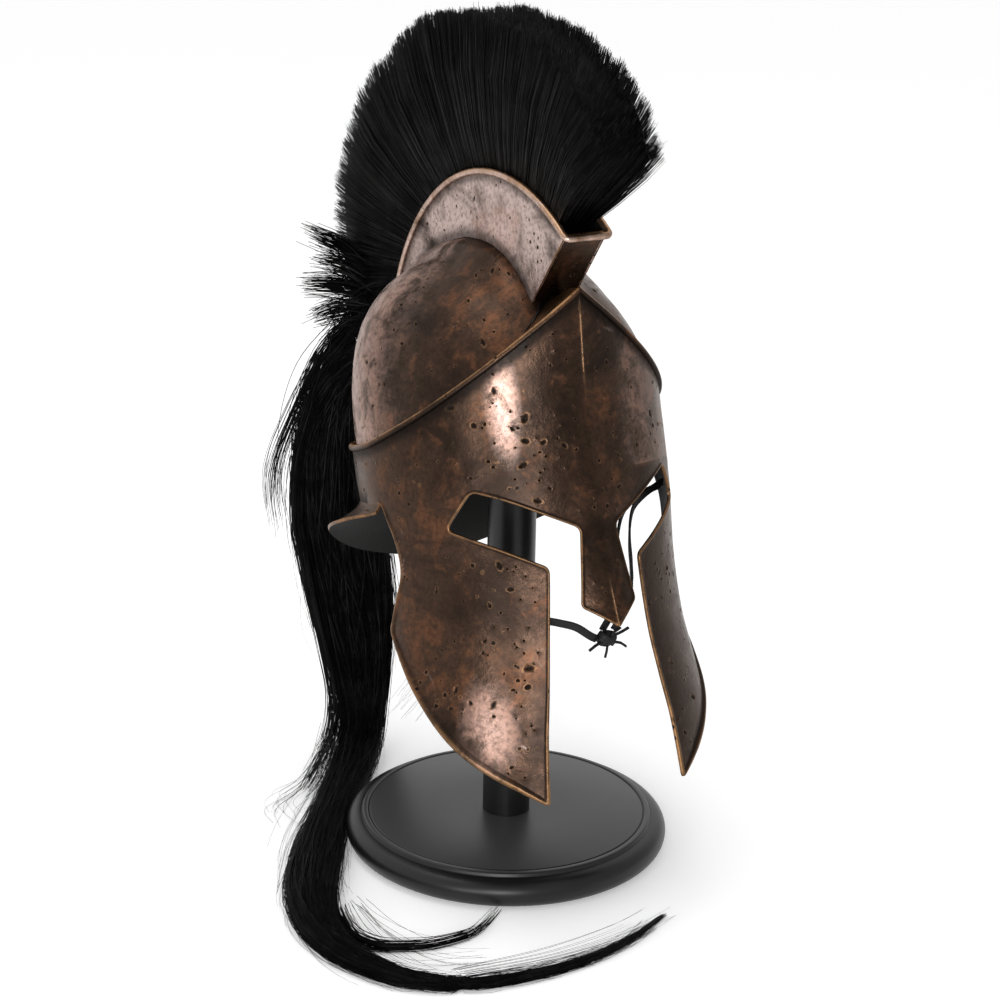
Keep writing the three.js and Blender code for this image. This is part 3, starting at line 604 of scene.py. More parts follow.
def grid_points(loop, spacing):
    """Points of an even triangle grid inside an outline, clear of its edges."""
    low, high = loop[:, :2].min(axis=0), loop[:, :2].max(axis=0)
    rows = np.arange(low[1], high[1], spacing * GRID_ROW)
    grid = np.array([(x + (i % 2) * spacing / 2, y) for i, y in enumerate(rows)
                     for x in np.arange(low[0], high[0], spacing)])
    grid = grid[inside(grid, loop)]
    gap, edge = edge_distance(grid, loop)
    return grid[gap > 0.55 * spacing + ROLL_RINGS[-1] * loop[edge, 2]]


def fold_points(loop):
    """Close columns of points along a fold at u = 0."""
    heights = np.arange(loop[:, 1].min(), loop[:, 1].max(), FOLD_STEP)
    fold = np.array([(u, v) for v in heights for u in FOLD_COLUMNS])
    fold = fold[inside(fold, loop)]
    return fold[edge_distance(fold, loop)[0] > FOLD_EDGE_GAP]


def sheet_points(loop, spacing, pits, creased):
    """Flat points inside an outline: beside rolled edges, in a grid, on the fold and in the pits."""
    spots = np.vstack((roll_points(loop), grid_points(loop, spacing)))
    if creased:
        spots = np.vstack((spots[np.abs(spots[:, 0]) > FOLD_HALF_WIDTH], fold_points(loop)))
    if len(pits):
        spots = spots[np.min(pit_reach(spots, pits), axis=1) > PIT_CLEAR]
        spots = np.vstack((spots, pit_points(pits)))
    return spots


def triangulate(loop, spots, longest):
    """All flat points, and the triangles between them that lie inside the outline."""
    flat = [Vector(p) for p in np.vstack((loop[:, :2], spots))]
    ring = [(i, (i + 1) % len(loop)) for i in range(len(loop))]
    flat, _, faces, *_ = delaunay_2d_cdt(flat, ring, [], 0, 1e-5, False)
    flat, faces = np.array([tuple(p) for p in flat]), np.array([tuple(f) for f in faces])
    sides = [np.linalg.norm(flat[faces[:, k]] - flat[faces[:, k - 1]], axis=1) for k in range(3)]
    kept = inside(flat[faces].mean(axis=1), loop) & (np.max(sides, axis=0) < longest)
    return flat, faces[kept]


def edge_relief(flat, loop, tuck_shade):
    """Distance from the edge, height of the rolled edge, wear and darkness at each flat point; the darkness
    is painted shadow beside edges that go in under a neighbour and painted shade in the groove inside a wide
    rolled edge.
    """
    gap, edge = edge_distance(flat, loop)
    roll = loop[edge, 2]
    across = gap / np.maximum(roll, 0.01)
    bead = np.sqrt(np.maximum(1 - (across - 1) ** 2, 0)) * ROLL_HEIGHT * roll * (across < ROLL_END)
    past = (across - ROLL_END) / GROOVE_WIDTH
    groove = np.where((past >= 0) & (past < 1), np.sin(past * math.pi), 0) * GROOVE_DEPTH * roll
    wear = np.where(roll > 0, 0.55 * hump(across, 0, 0.6) + 0.25 * hump(across, 1, 0.5), 0)
    wear *= np.where(roll < 1, 0.7, 1)
    level = np.abs(loop[edge, 0] - np.roll(loop, -1, axis=0)[edge, 0]) > 0.01
    # Painted shadow beside plain level edges that go in under a neighbour, as under the ridge and along the
    # crest plates' foot.
    painted_tuck_shadow = np.where((roll == 0) & level, tuck_shade * (1 - smoothstep(gap, 3.2, 9)), 0)
    # Painted shade in the groove inside a wide rolled edge.
    painted_groove_shade = np.where(roll > 1.5, 0.7 * hump(across, 2.5, 0.5), 0)
    return gap, bead - groove, wear, np.maximum(painted_tuck_shadow, painted_groove_shade)


def sheet_relief(flat, base, loop, settings, pits, seed, tuck_shade, crease):
    """Height over the smooth surface, wear and darkness at each flat point of a sheet; the darkness is the
    pits and painted shadow beside edges.
    """
    gap, lift, wear, dark = edge_relief(flat, loop, tuck_shade)
    lift += beaten(base, settings.hammer, seed) * np.minimum(gap / 6, 1)
    if crease:
        u, v = flat.T
        strength = crease(v)
        lift += FOLD_HEIGHT * strength * np.exp(-np.abs(u) / 0.9)
        wear = np.maximum(wear, 0.28 * strength * hump(u, 0, 0.6))
    if len(pits):
        depth, reach = pits[:, 5], pit_reach(flat, pits)
        hollow = depth * (1 - smoothstep(reach, 0.35, 1.1))
        lift += np.max(0.2 * depth * hump(reach, 1.35, 0.25), axis=1) - np.max(hollow, axis=1)
        dark = np.maximum(dark, np.max(1 - smoothstep(reach, 0.5, 1.15), axis=1))
        wear = np.maximum(wear, np.max(0.13 * hump(reach, 1.25, 0.2), axis=1))
    return lift, wear, dark


def thicken(base, normal, faces, lift, wear, dark):
    """A sheet with its seam merged, its outside lifted, a plain inside and a closed rim."""
    _, first, same = np.unique(np.round(base, 2), axis=0, return_index=True, return_inverse=True)
    faces = same.reshape(-1)[faces]
    front = faces[(faces != np.roll(faces, -1, axis=1)).all(axis=1)].tolist()
    base, normal, lift, wear, dark = (a[first] for a in (base, normal, lift, wear, dark))
    count = len(base)
    points = np.vstack((base + normal * lift[:, None], base - normal * SHEET))
    edges = dict.fromkeys(pair for a, b, c in front for pair in ((a, b), (b, c), (c, a)))
    rim = [(b, a, a + count, b + count) for a, b in edges if (b, a) not in edges]
    back = [(c + count, b + count, a + count) for a, b, c in front]
    finish = [0] * len(front) + [1] * len(back) + [0] * len(rim)
    wear, dark = np.concatenate((wear, wear * 0.5)), np.concatenate((dark, dark * 0))
    return Part(points, front + back + rim, wear, dark, finish=finish)


def sheet_metal(loop, place, settings, pits, seed, centre, step=2.2, tuck_shade=0.0, crease=None):
    """Wraps a flat outline onto a surface as sheet metal with rolled edges, hammer marks and pits.

    Tuck shade is how much painted shadow lies beside edges that go in under a neighbour, and crease gives the
    strength of a fold along u = 0 at each height.
    """
    spacing = settings.spacing / MM
    loop = turn_left(divide(loop, step))
    flat, faces = triangulate(loop, sheet_points(loop, spacing, pits, crease), 5 * spacing)
    base, normal = place(*flat.T), surface_normals(place, *flat.T)
    if np.mean(np.sum(normal * (base - np.asarray(centre, float)), axis=1)) < 0:
        normal, faces = -normal, faces[:, ::-1]
    relief = sheet_relief(flat, base, loop, settings, pits, seed, tuck_shade, crease)
    return thicken(base, normal, faces, *relief)


# Swept and turned shapes

def skin(rings, closed=False, flipped=False, **values):
    """Faces between rings of points, with the ends closed unless the last ring meets the first."""
    count, sides = rings.shape[:2]
    faces = []
    for i in range(count if closed else count - 1):
        j = (i + 1) % count
        for k in range(sides):
            n = (k + 1) % sides
            faces.append((i * sides + k, j * sides + k, j * sides + n, i * sides + n))
    if not closed:
        faces.append(tuple(range(sides)))
        faces.append(tuple((count - 1) * sides + k for k in reversed(range(sides))))
    if flipped:
        faces = [(face[0], *face[:0:-1]) for face in faces]
    return Part(rings.reshape(-1, 3), faces, **values)


def sweep(path, section, up, closed=False, wear=0.0):
    """A section of (across, up) points carried along a path, with its ends closed."""
    path, section = np.asarray(path, float), np.asarray(section, float)
    ahead = (np.roll(path, -1, axis=0) - np.roll(path, 1, axis=0)) if closed else np.gradient(path, axis=0)
    ahead = unit(ahead)
    across = unit(np.cross(ahead, np.broadcast_to(np.asarray(up, float), path.shape)))
    up = np.cross(across, ahead)
    if section.ndim == 2:
        section = np.broadcast_to(section, (len(path), *section.shape))
    rings = path[:, None] + section[..., :1] * across[:, None] + section[..., 1:] * up[:, None]
    return skin(rings, closed, wear=wear)


def circle(radius, sides):
    turns = full_turn(sides)
    return np.stack((radius * np.cos(turns), radius * np.sin(turns)), axis=1)


def level_ring(radius, height, sides):
    return np.column_stack((circle(radius, sides), np.full(sides, height)))


def capped(foot, rings, top):
    """Level rings of points from the foot up, closed by a point at each end."""
    rings = np.asarray(rings, float)
    count, sides = rings.shape[:2]
    last = 1 + (count - 1) * sides
    faces = []
    for k in range(sides):
        n = (k + 1) % sides
        faces.append((0, 1 + n, 1 + k))
        for ring in range(1, last, sides):
            faces.append((ring + k, ring + n, ring + sides + n, ring + sides + k))
        faces.append((last + k, last + n, last + sides))
    return Part(np.vstack(((0, 0, foot), rings.reshape(-1, 3), (0, 0, top))), faces)


def hair_tone(count):
    """How light each hair is, from nought to one, with neighbours unlike."""
    golden_step = 0.618034
    return np.arange(count) * golden_step % 1


def tubes(paths, radii):
    """Three-sided strands along many paths at once."""
    ahead = unit(np.gradient(paths, axis=1))
    level = np.abs(ahead[..., 2:]) < 0.85
    side = unit(np.cross(ahead, np.where(level, (0.0, 0.0, 1.0), (1.0, 0.0, 0.0))))
    up = np.cross(ahead, side)
    turns = np.radians((0, 120, 240))[:, None]
    ring = np.cos(turns) * side[:, :, None] + np.sin(turns) * up[:, :, None]
    points = paths[:, :, None] + ring * radii[:, :, None, None]
    strands, steps = paths.shape[:2]
    number = np.arange(strands * steps * 3).reshape(strands, steps, 3)
    turned = np.roll(number, -1, axis=2)
    quads = np.stack((number[:, :-1], turned[:, :-1], turned[:, 1:], number[:, 1:]), axis=-1)
    faces = quads.reshape(-1, 4).tolist() + number[:, 0, ::-1].tolist() + number[:, -1].tolist()
    return Part(points.reshape(-1, 3), faces, polish=np.repeat(hair_tone(strands), steps * 3))


# Pieces

def make_piece(name, part, materials, node=None, sharp=None):
    """A mesh object from a part in upright millimetres, riding on the body."""
    mesh = bpy.data.meshes.new(name)
    mesh.from_pydata((part.points * MM).tolist(), [], part.faces)
    # These values carry real wear and pits into the materials, with painted highlights, painted sheen and
    # painted shade.
    for key in ("wear", "pit", "polish"):
        values = getattr(part, key)
        if np.any(values):
            mesh.attributes.new(key, "FLOAT", "POINT").data.foreach_set("value", values)
    mesh.polygons.foreach_set("material_index", part.finish)
    mesh.polygons.foreach_set("use_smooth", np.ones(len(mesh.polygons), bool))
    if sharp:
        mesh.set_sharp_from_angle(angle=math.radians(sharp))
    mesh.update()
    piece = bpy.data.objects.new(name, mesh)
    bpy.context.scene.collection.objects.link(piece)
    for material in materials:
        mesh.materials.append(material)
    return placed(piece, node)


def placed(piece, node):
    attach(piece, "root")
    if node:
        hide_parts(node)
    return piece


# Materials

class Tree:
    """Short calls to add and link nodes."""

    def __init__(self, tree):
        self.tree = tree

    def add(self, kind, inputs=None, **settings):
        node = self.tree.nodes.new(kind)
        for key, value in settings.items():
            setattr(node, key, value)
        return self.set(node, inputs or {})

    def set(self, node, inputs):
        """Links each input to a socket, or sets it to a value."""
        for key, value in inputs.items():
            if isinstance(value, bpy.types.NodeSocket):
                self.tree.links.new(value, node.inputs[key])
            else:
                node.inputs[key].default_value = value
        return node

    def calc(self, operation, *values, clamp=False):
        inputs = dict(enumerate(values))
        return self.add("ShaderNodeMath", inputs, operation=operation, use_clamp=clamp).outputs[0]

    def blend(self, share, first, second):
        inputs = {0: share, 6: first, 7: second}
        return self.add("ShaderNodeMix", inputs, data_type="RGBA", clamp_factor=True).outputs[2]

    def clouds(self, vector, scale, detail=4.0, roughness=0.55, distortion=0.0):
        inputs = {"Vector": vector, "Scale": scale, "Detail": detail,
                  "Roughness": roughness, "Distortion": distortion}
        return self.add("ShaderNodeTexNoise", inputs).outputs[0]

    def limits(self, value, low, high, start=0.0, end=1.0):
        """From start to end as the value goes from low to high."""
        inputs = {0: value, 1: low, 2: high, 3: start, 4: end}
        return self.add("ShaderNodeMapRange", inputs, interpolation_type="SMOOTHSTEP").outputs[0]

    def bump(self, height, distance):
        inputs = {"Height": height, "Strength": 0.5, "Distance": distance}
        return self.add("ShaderNodeBump", inputs).outputs[0]

    def attribute(self, name):
        return self.add("ShaderNodeAttribute", attribute_name=name).outputs["Fac"]

    def place(self):
        return self.add("ShaderNodeTexCoord").outputs["Object"]


def tint(colour, strength=1.0):
    """An opaque colour, lighter or darker by its strength."""
    return (*(strength * c for c in colour), 1.0)


def new_material(name):
    material = bpy.data.materials.new(name)
    material.use_nodes = True
    tree = Tree(material.node_tree)
    return material, tree, material.node_tree.nodes["Principled BSDF"]


def patina_group(settings):
    """Blotched bronze: dark brown, copper and grey violet, gold where it is worn and as painted highlight on
    rim tops, black in its pits, with painted highlights, painted shade and painted shadow from the values on
    its points.
    """
    name = "Aged Bronze"
    if name in bpy.data.node_groups:
        return bpy.data.node_groups[name]
    group = bpy.data.node_groups.new(name, "ShaderNodeTree")
    for socket, way, kind in (("Copper", "INPUT", "Float"), ("Violet", "INPUT", "Float"),
                              ("Colour", "OUTPUT", "Color"), ("Roughness", "OUTPUT", "Float"),
                              ("Height", "OUTPUT", "Float")):
        group.interface.new_socket(socket, in_out=way, socket_type="NodeSocket" + kind)
    tree = Tree(group)
    given = tree.add("NodeGroupInput").outputs
    place = tree.place()
    # Real wear and pits, with painted highlight on rim tops, painted shadow beside edges, and painted
    # highlights and painted shade in the sheen value.
    wear, pit, polish = (tree.attribute(key) for key in ("wear", "pit", "polish"))
    broad = tree.clouds(place, 15.0, 6.0, 0.62, 0.6)
    blotch = tree.clouds(place, 62.0, 6.0, 0.66, 0.5)
    haze = tree.clouds(place, 24.0, 5.0, 0.6, 0.9)
    speckle = tree.clouds(place, 340.0, 3.0, 0.6)
    grain = tree.clouds(place, 900.0, 2.0, 0.5)

    def above(value, share, width):
        """Where a cloud stands over a level that falls as the share grows."""
        level = tree.calc("SUBTRACT", 0.76, tree.calc("MULTIPLY", share, 0.4))
        return tree.calc("DIVIDE", tree.calc("SUBTRACT", value, level), width, clamp=True)

    # Fine pits in loose groups
    cells = tree.add("ShaderNodeTexVoronoi", {"Vector": place, "Scale": 200.0})
    pick = tree.add("ShaderNodeSeparateColor", {0: cells.outputs["Color"]}).outputs[0]
    grouped = tree.limits(haze, 0.48, 0.6)
    size = tree.calc("MULTIPLY", tree.limits(pick, 0.45, 1.0, 0.0, 0.34), grouped)
    reach = tree.calc("DIVIDE", cells.outputs["Distance"], tree.calc("MAXIMUM", size, 0.001))
    small = tree.limits(reach, 0.55, 1.05, 1.0, 0.0)
    lip = tree.calc("MULTIPLY", tree.limits(reach, 0.85, 1.15), tree.limits(reach, 1.2, 1.7, 1.0, 0.0))
    # Darkest in the pits and in the painted shadow beside edges and under the ridge.
    hollow = tree.calc("MAXIMUM", pit, small)

    mixed = tree.calc("ADD", tree.calc("MULTIPLY", broad, 0.45), tree.calc("MULTIPLY", blotch, 0.55))
    warm = tree.calc("MULTIPLY", above(mixed, given["Copper"], 0.2), 0.85)
    cool = above(haze, given["Violet"], 0.2)
    shade = tree.limits(broad, 0.36, 0.6)
    colour = tree.blend(shade, tint(settings.brown, 0.36), tint(settings.brown, 1.15))
    colour = tree.blend(cool, colour, tint(settings.violet))
    colour = tree.blend(warm, colour, tint(settings.copper))
    # Painted shade where the sheen value is below nought: over the far cheek, and a slight darkening across
    # the near side of the lower bowl.
    painted_shade = tree.calc("MULTIPLY", polish, -1.0, clamp=True)
    colour = tree.blend(painted_shade, colour, tint(settings.brown, 0.4))
    # Painted highlights: a copper edge, then pale violet in their middles.
    painted_highlight = tree.calc("MULTIPLY", polish, tree.limits(blotch, 0.36, 0.6, 0.15, 1.0), clamp=True)
    painted_highlight_halo = tree.limits(painted_highlight, 0.02, 0.3, 0.0, 0.4)
    colour = tree.blend(painted_highlight_halo, colour, tint(settings.copper, 1.4))
    colour = tree.blend(painted_highlight, colour, tint(settings.violet, 1.15))
    dark = tree.limits(speckle, 0.36, 0.56, 0.62, 1.0)
    colour = tree.blend(dark, tint(settings.brown, 0.3), colour)
    # Gold on worn edges, and as painted highlight on the tops of the rolled rims.
    painted_sheen_and_wear = tree.calc("MULTIPLY", wear, tree.limits(blotch, 0.34, 0.56, 0.3, 1.0), clamp=True)
    painted_sheen_and_wear = tree.calc("MAXIMUM", painted_sheen_and_wear, tree.calc("MULTIPLY", lip, 0.1))
    colour = tree.blend(painted_sheen_and_wear, colour, tint(settings.gold))
    colour = tree.blend(hollow, colour, tint(settings.brown, 0.15))
    rough = tree.limits(blotch, 0.3, 0.7, 0.23, 0.4)
    rough = tree.calc("ADD", rough, tree.calc("MULTIPLY", hollow, 0.35), clamp=True)
    height = tree.calc("ADD", tree.calc("MULTIPLY", speckle, 0.5), tree.calc("MULTIPLY", grain, 0.18))
    height = tree.calc("SUBTRACT", height, tree.calc("MULTIPLY", small, 1.1))
    height = tree.calc("ADD", height, tree.calc("MULTIPLY", lip, 0.25))
    tree.add("NodeGroupOutput", {"Colour": colour, "Roughness": rough, "Height": height})
    return group


def bronze(name, settings, copper, violet):
    """Aged bronze with its own share of copper and violet."""
    if name in bpy.data.materials:
        return bpy.data.materials[name]
    material, tree, shader = new_material(name)
    patina = tree.add("ShaderNodeGroup", node_tree=patina_group(settings))
    patina.inputs["Copper"].default_value = copper
    patina.inputs["Violet"].default_value = violet
    bump = tree.bump(patina.outputs["Height"], 0.0007)
    tree.set(shader, {
        "Base Color": patina.outputs["Colour"], "Roughness": patina.outputs["Roughness"], "Normal": bump,
        "Metallic": 0.95, "Specular Tint": (0.74, 0.69, 0.66, 1), "Coat Weight": 0.1, "Coat Roughness": 0.3})
    return material


def plain(name, colour, roughness, grain_scale, grain_depth, shine, painted_sheen_lift=0.0):
    """A dark finish with a fine grain, lighter by a painted sheen where its wear value is set."""
    if name in bpy.data.materials:
        return bpy.data.materials[name]
    material, tree, shader = new_material(name)
    place = tree.place()
    tone = tree.limits(tree.clouds(place, 40.0, 4.0), 0.3, 0.7)
    shade = tree.blend(tone, tint(colour, 0.8), tint(colour, 1.2))
    # Painted sheen where the wear value is set.
    if painted_sheen_lift:
        shade = tree.blend(tree.attribute("wear"), shade, tint([c + painted_sheen_lift for c in colour]))
    bump = tree.bump(tree.clouds(place, grain_scale, 3.0), grain_depth)
    tree.set(shader, {
        "Base Color": shade, "Roughness": roughness, "Specular IOR Level": shine, "Normal": bump})
    return material


def bronze_finishes(context):
    blackened = plain("Blackened Inside", (0.006, 0.0055, 0.005), roughness=0.6,
                      grain_scale=300.0, grain_depth=0.0004, shine=0.15)
    return [bronze("Brown Bronze", context.scene.helmet_metal, copper=0.6, violet=0.25), blackened]


def crest_finishes(context):
    brown, blackened = bronze_finishes(context)
    violet = bronze("Violet Bronze", context.scene.helmet_metal, copper=0.28, violet=1.12)
    return [violet, blackened, brown]


def hair_finish(context):
    """Black hair, some strands lighter than others."""
    name = "Black Horsehair"
    if name in bpy.data.materials:
        return bpy.data.materials[name]
    material, tree, shader = new_material(name)
    colour = tuple(context.scene.helmet_hair.colour)
    streak = tree.limits(tree.clouds(tree.place(), 60.0, 2.0), 0.35, 0.62, 0.35, 1.0)
    light = tree.calc("MULTIPLY", tree.calc("POWER", tree.attribute("polish"), 3.0), streak)
    shade = tree.blend(light, tint(colour, 0.3), tint(colour, 9))
    tree.set(shader, {"Base Color": shade, "Roughness": 0.44, "Specular IOR Level": 0.05})
    return material


# The stage

class HELMET_OT_stage(bpy.types.Operator):
    """Camera, pale floor and soft studio light."""

    bl_idname = "helmet.stage"
    bl_label = "Stage"

    CAMERA_PLACE = (-0.7354, -1.3657, 0.7806)
    CAMERA_TURN, CAMERA_LIFT, CAMERA_ROLL = -28, 19.07, -1.1
    LENS, SENSOR = 90, 36
    FLOOR_REACH = 12
    FLOOR_GLOW = 0.24
    SKY_BRIGHTEST = (-0.42, 0.86, 0.1)
    # Soft boxes aimed at one place: the setting that holds its power, place, width and height
    AIM = (0, 0, 0.3)
    SOFT_BOXES = (
        ("key", (-0.81, -1.35, 0.52), (0.34, 0.5)),
        ("top", (-0.3, 0.3, 2.2), (1.3, 1.3)),
        ("fill", (-1.29, -0.96, 0.38), (0.35, 0.4)),
    )

    def execute(self, context):
        settings = context.scene.helmet_stage
        self.make_camera(context)
        self.make_floor(settings)
        self.make_sky(context)
        for name, place, size in self.SOFT_BOXES:
            self.soft_box(name.title(), place, size, getattr(settings, name))
        context.scene.view_settings.view_transform = "Standard"
        return {"FINISHED"}

    def make_camera(self, context):
        turn, lift, roll = (math.radians(a) for a in (self.CAMERA_TURN, self.CAMERA_LIFT, self.CAMERA_ROLL))
        back = Vector((math.sin(turn) * math.cos(lift), -math.cos(turn) * math.cos(lift), math.sin(lift)))
        right = Vector((math.cos(turn), math.sin(turn), 0))
        up = back.cross(right)
        across = right * math.cos(roll) - up * math.sin(roll)
        upward = right * math.sin(roll) + up * math.cos(roll)
        camera = bpy.data.objects.new("Camera", bpy.data.cameras.new("Camera"))
        camera.data.lens = self.LENS
        camera.data.sensor_width = self.SENSOR
        camera.data.clip_start = 0.05
        axes = Matrix((across, upward, back)).transposed().to_4x4()
        camera.matrix_world = Matrix.Translation(self.CAMERA_PLACE) @ axes
        context.scene.collection.objects.link(camera)
        context.scene.camera = camera

    def make_floor(self, settings):
        reach = self.FLOOR_REACH
        corners = [(-reach, -reach, 0), (reach, -reach, 0), (reach, reach, 0), (-reach, reach, 0)]
        mesh = bpy.data.meshes.new("floor")
        mesh.from_pydata(corners, [], [(0, 1, 2, 3)])
        floor = bpy.data.objects.new("floor", mesh)
        bpy.context.scene.collection.objects.link(floor)
        material, tree, shader = new_material("Pale Floor")
        tree.set(shader, {
            "Base Color": tint(settings.floor), "Roughness": 0.9, "Specular IOR Level": 0.1,
            "Emission Color": (1, 1, 1, 1), "Emission Strength": self.FLOOR_GLOW})
        mesh.materials.append(material)

    def make_sky(self, context):
        """White behind the helmet and a little darker on the camera's side, as in a studio."""
        world = bpy.data.worlds.new("Studio")
        world.use_nodes = True
        context.scene.world = world
        tree = Tree(world.node_tree)
        look = tree.add("ShaderNodeTexCoord").outputs["Generated"]
        behind = tree.add("ShaderNodeVectorMath", {0: look, 1: self.SKY_BRIGHTEST}, operation="DOT_PRODUCT")
        share = tree.limits(behind.outputs["Value"], -0.35, 0.4)
        colour = tree.blend(share, (0.6, 0.6, 0.6, 1), (1, 1, 1, 1))
        tree.set(world.node_tree.nodes["Background"], {"Color": colour, "Strength": 1.0})

    def soft_box(self, name, place, size, power):
        light = bpy.data.lights.new(name, "AREA")
        light.shape = "RECTANGLE"
        light.size, light.size_y = size
        light.energy = power
        lamp = bpy.data.objects.new(name, light)
        lamp.location = place
        lamp.rotation_euler = (Vector(self.AIM) - Vector(place)).to_track_quat("-Z", "Y").to_euler()
        bpy.context.scene.collection.objects.link(lamp)


# The laces

def lace_route(points, count=60):
    """A smooth route through points, with evenly shared steps."""
    keys = np.arange(len(points))
    fine = np.linspace(0, len(points) - 1, 600)
    curve = np.stack([along(keys, points[:, k], fine) for k in range(3)], axis=1)
    length = np.concatenate(([0], np.cumsum(np.linalg.norm(np.diff(curve, axis=0), axis=1))))
    even = np.linspace(0, length[-1], count)
    return np.stack([np.interp(even, length, curve[:, k]) for k in range(3)], axis=1), length[-1]


def strap_section(width, thickness):
    """A flat strap's section with rounded edges, thickness across and width upwards."""
    half, bulge = width / 2, thickness / 2
    section = []
    for middle, start in ((half - bulge, 0), (-(half - bulge), 180)):
        for k in range(5):
            turn = math.radians(start + 45 * k)
            section.append((bulge * math.cos(turn), middle + bulge * math.sin(turn)))
    return section


class HELMET_OT_laces(bpy.types.Operator):
    """Flat leather chin laces and their knot."""

    bl_idname = "helmet.laces"
    bl_label = "Chin Laces"

    # The knot: its core, the tilt and reach of each turn, and the route of each end from its middle
    CORE_HALF_LENGTH, CORE_RADIUS, CORE_TAPER = 6.6, 4.6, 7.2
    KNOT_TURNS = ((25, 5.4), (-40, 5.9), (80, 4.6))
    KNOT_ENDS = (
        ((-4, -2, -1), (-9, -3, -2), (-14, -3, -5)),
        ((-1, -3, -4), (-2, -4, -7), (-3, -4, -11)),
        ((4, -2, 2), (9, -3, 4), (14, -3, 6)),
        ((4, -3, -2), (8, -4, -3), (12, -4, -6)),
        ((1, -3, 3), (3, -5, 6), (7, -5, 8)),
    )

    def execute(self, context):
        settings = context.scene.helmet_lace
        finish = plain("Black Leather", settings.colour, roughness=0.5,
                       grain_scale=700.0, grain_depth=0.0003, shine=0.2)
        width, thickness = settings.width / MM, settings.thickness / MM
        section = strap_section(width, thickness)
        knot = self.make_knot(finish, width * 0.8, thickness)
        routes = (
            ("lace_near", LACE_NEAR, knot),
            ("lace_far_front", LACE_FAR_FRONT, None),
            ("lace_far_back", LACE_FAR_BACK, None),
        )
        for node, points, end in routes:
            route, length = lace_route(points)
            part = sweep(route, section, (0, 0, 1))
            piece = make_piece("leather_" + node, part, [finish], node)
        return {"FINISHED"}

    def make_knot(self, finish, width, thickness):
        """Crossing turns of strap round a core, with short loose ends."""
        strap, thong = strap_section(width, thickness), strap_section(0.55 * width, 0.9 * thickness)
        places = np.linspace(-self.CORE_HALF_LENGTH, self.CORE_HALF_LENGTH, 11)
        swell = self.CORE_RADIUS * np.sqrt(1 - (places / self.CORE_TAPER) ** 2)
        core = np.stack((places, 0 * places, 0 * places), axis=1)
        parts = [sweep(KNOT + core, [circle(radius, 12) for radius in swell], (0, 0, 1))]
        turns = full_turn(40)
        for tilt, reach in self.KNOT_TURNS:
            c, s = math.cos(math.radians(tilt)), math.sin(math.radians(tilt))
            out, over = reach * np.cos(turns), 0.75 * reach * np.sin(turns)
            ring = np.stack((out * c, over, out * s), axis=1)
            parts.append(sweep(KNOT + ring, strap, (-s, 0, c), closed=True))
        for points in self.KNOT_ENDS:
            route, _ = lace_route(KNOT + np.array(points), 16)
            parts.append(sweep(route, thong, (0.3, 0.9, 0.2)))
        return make_piece("leather_knot", joined(parts), [finish], "lace_knot")


# The stand

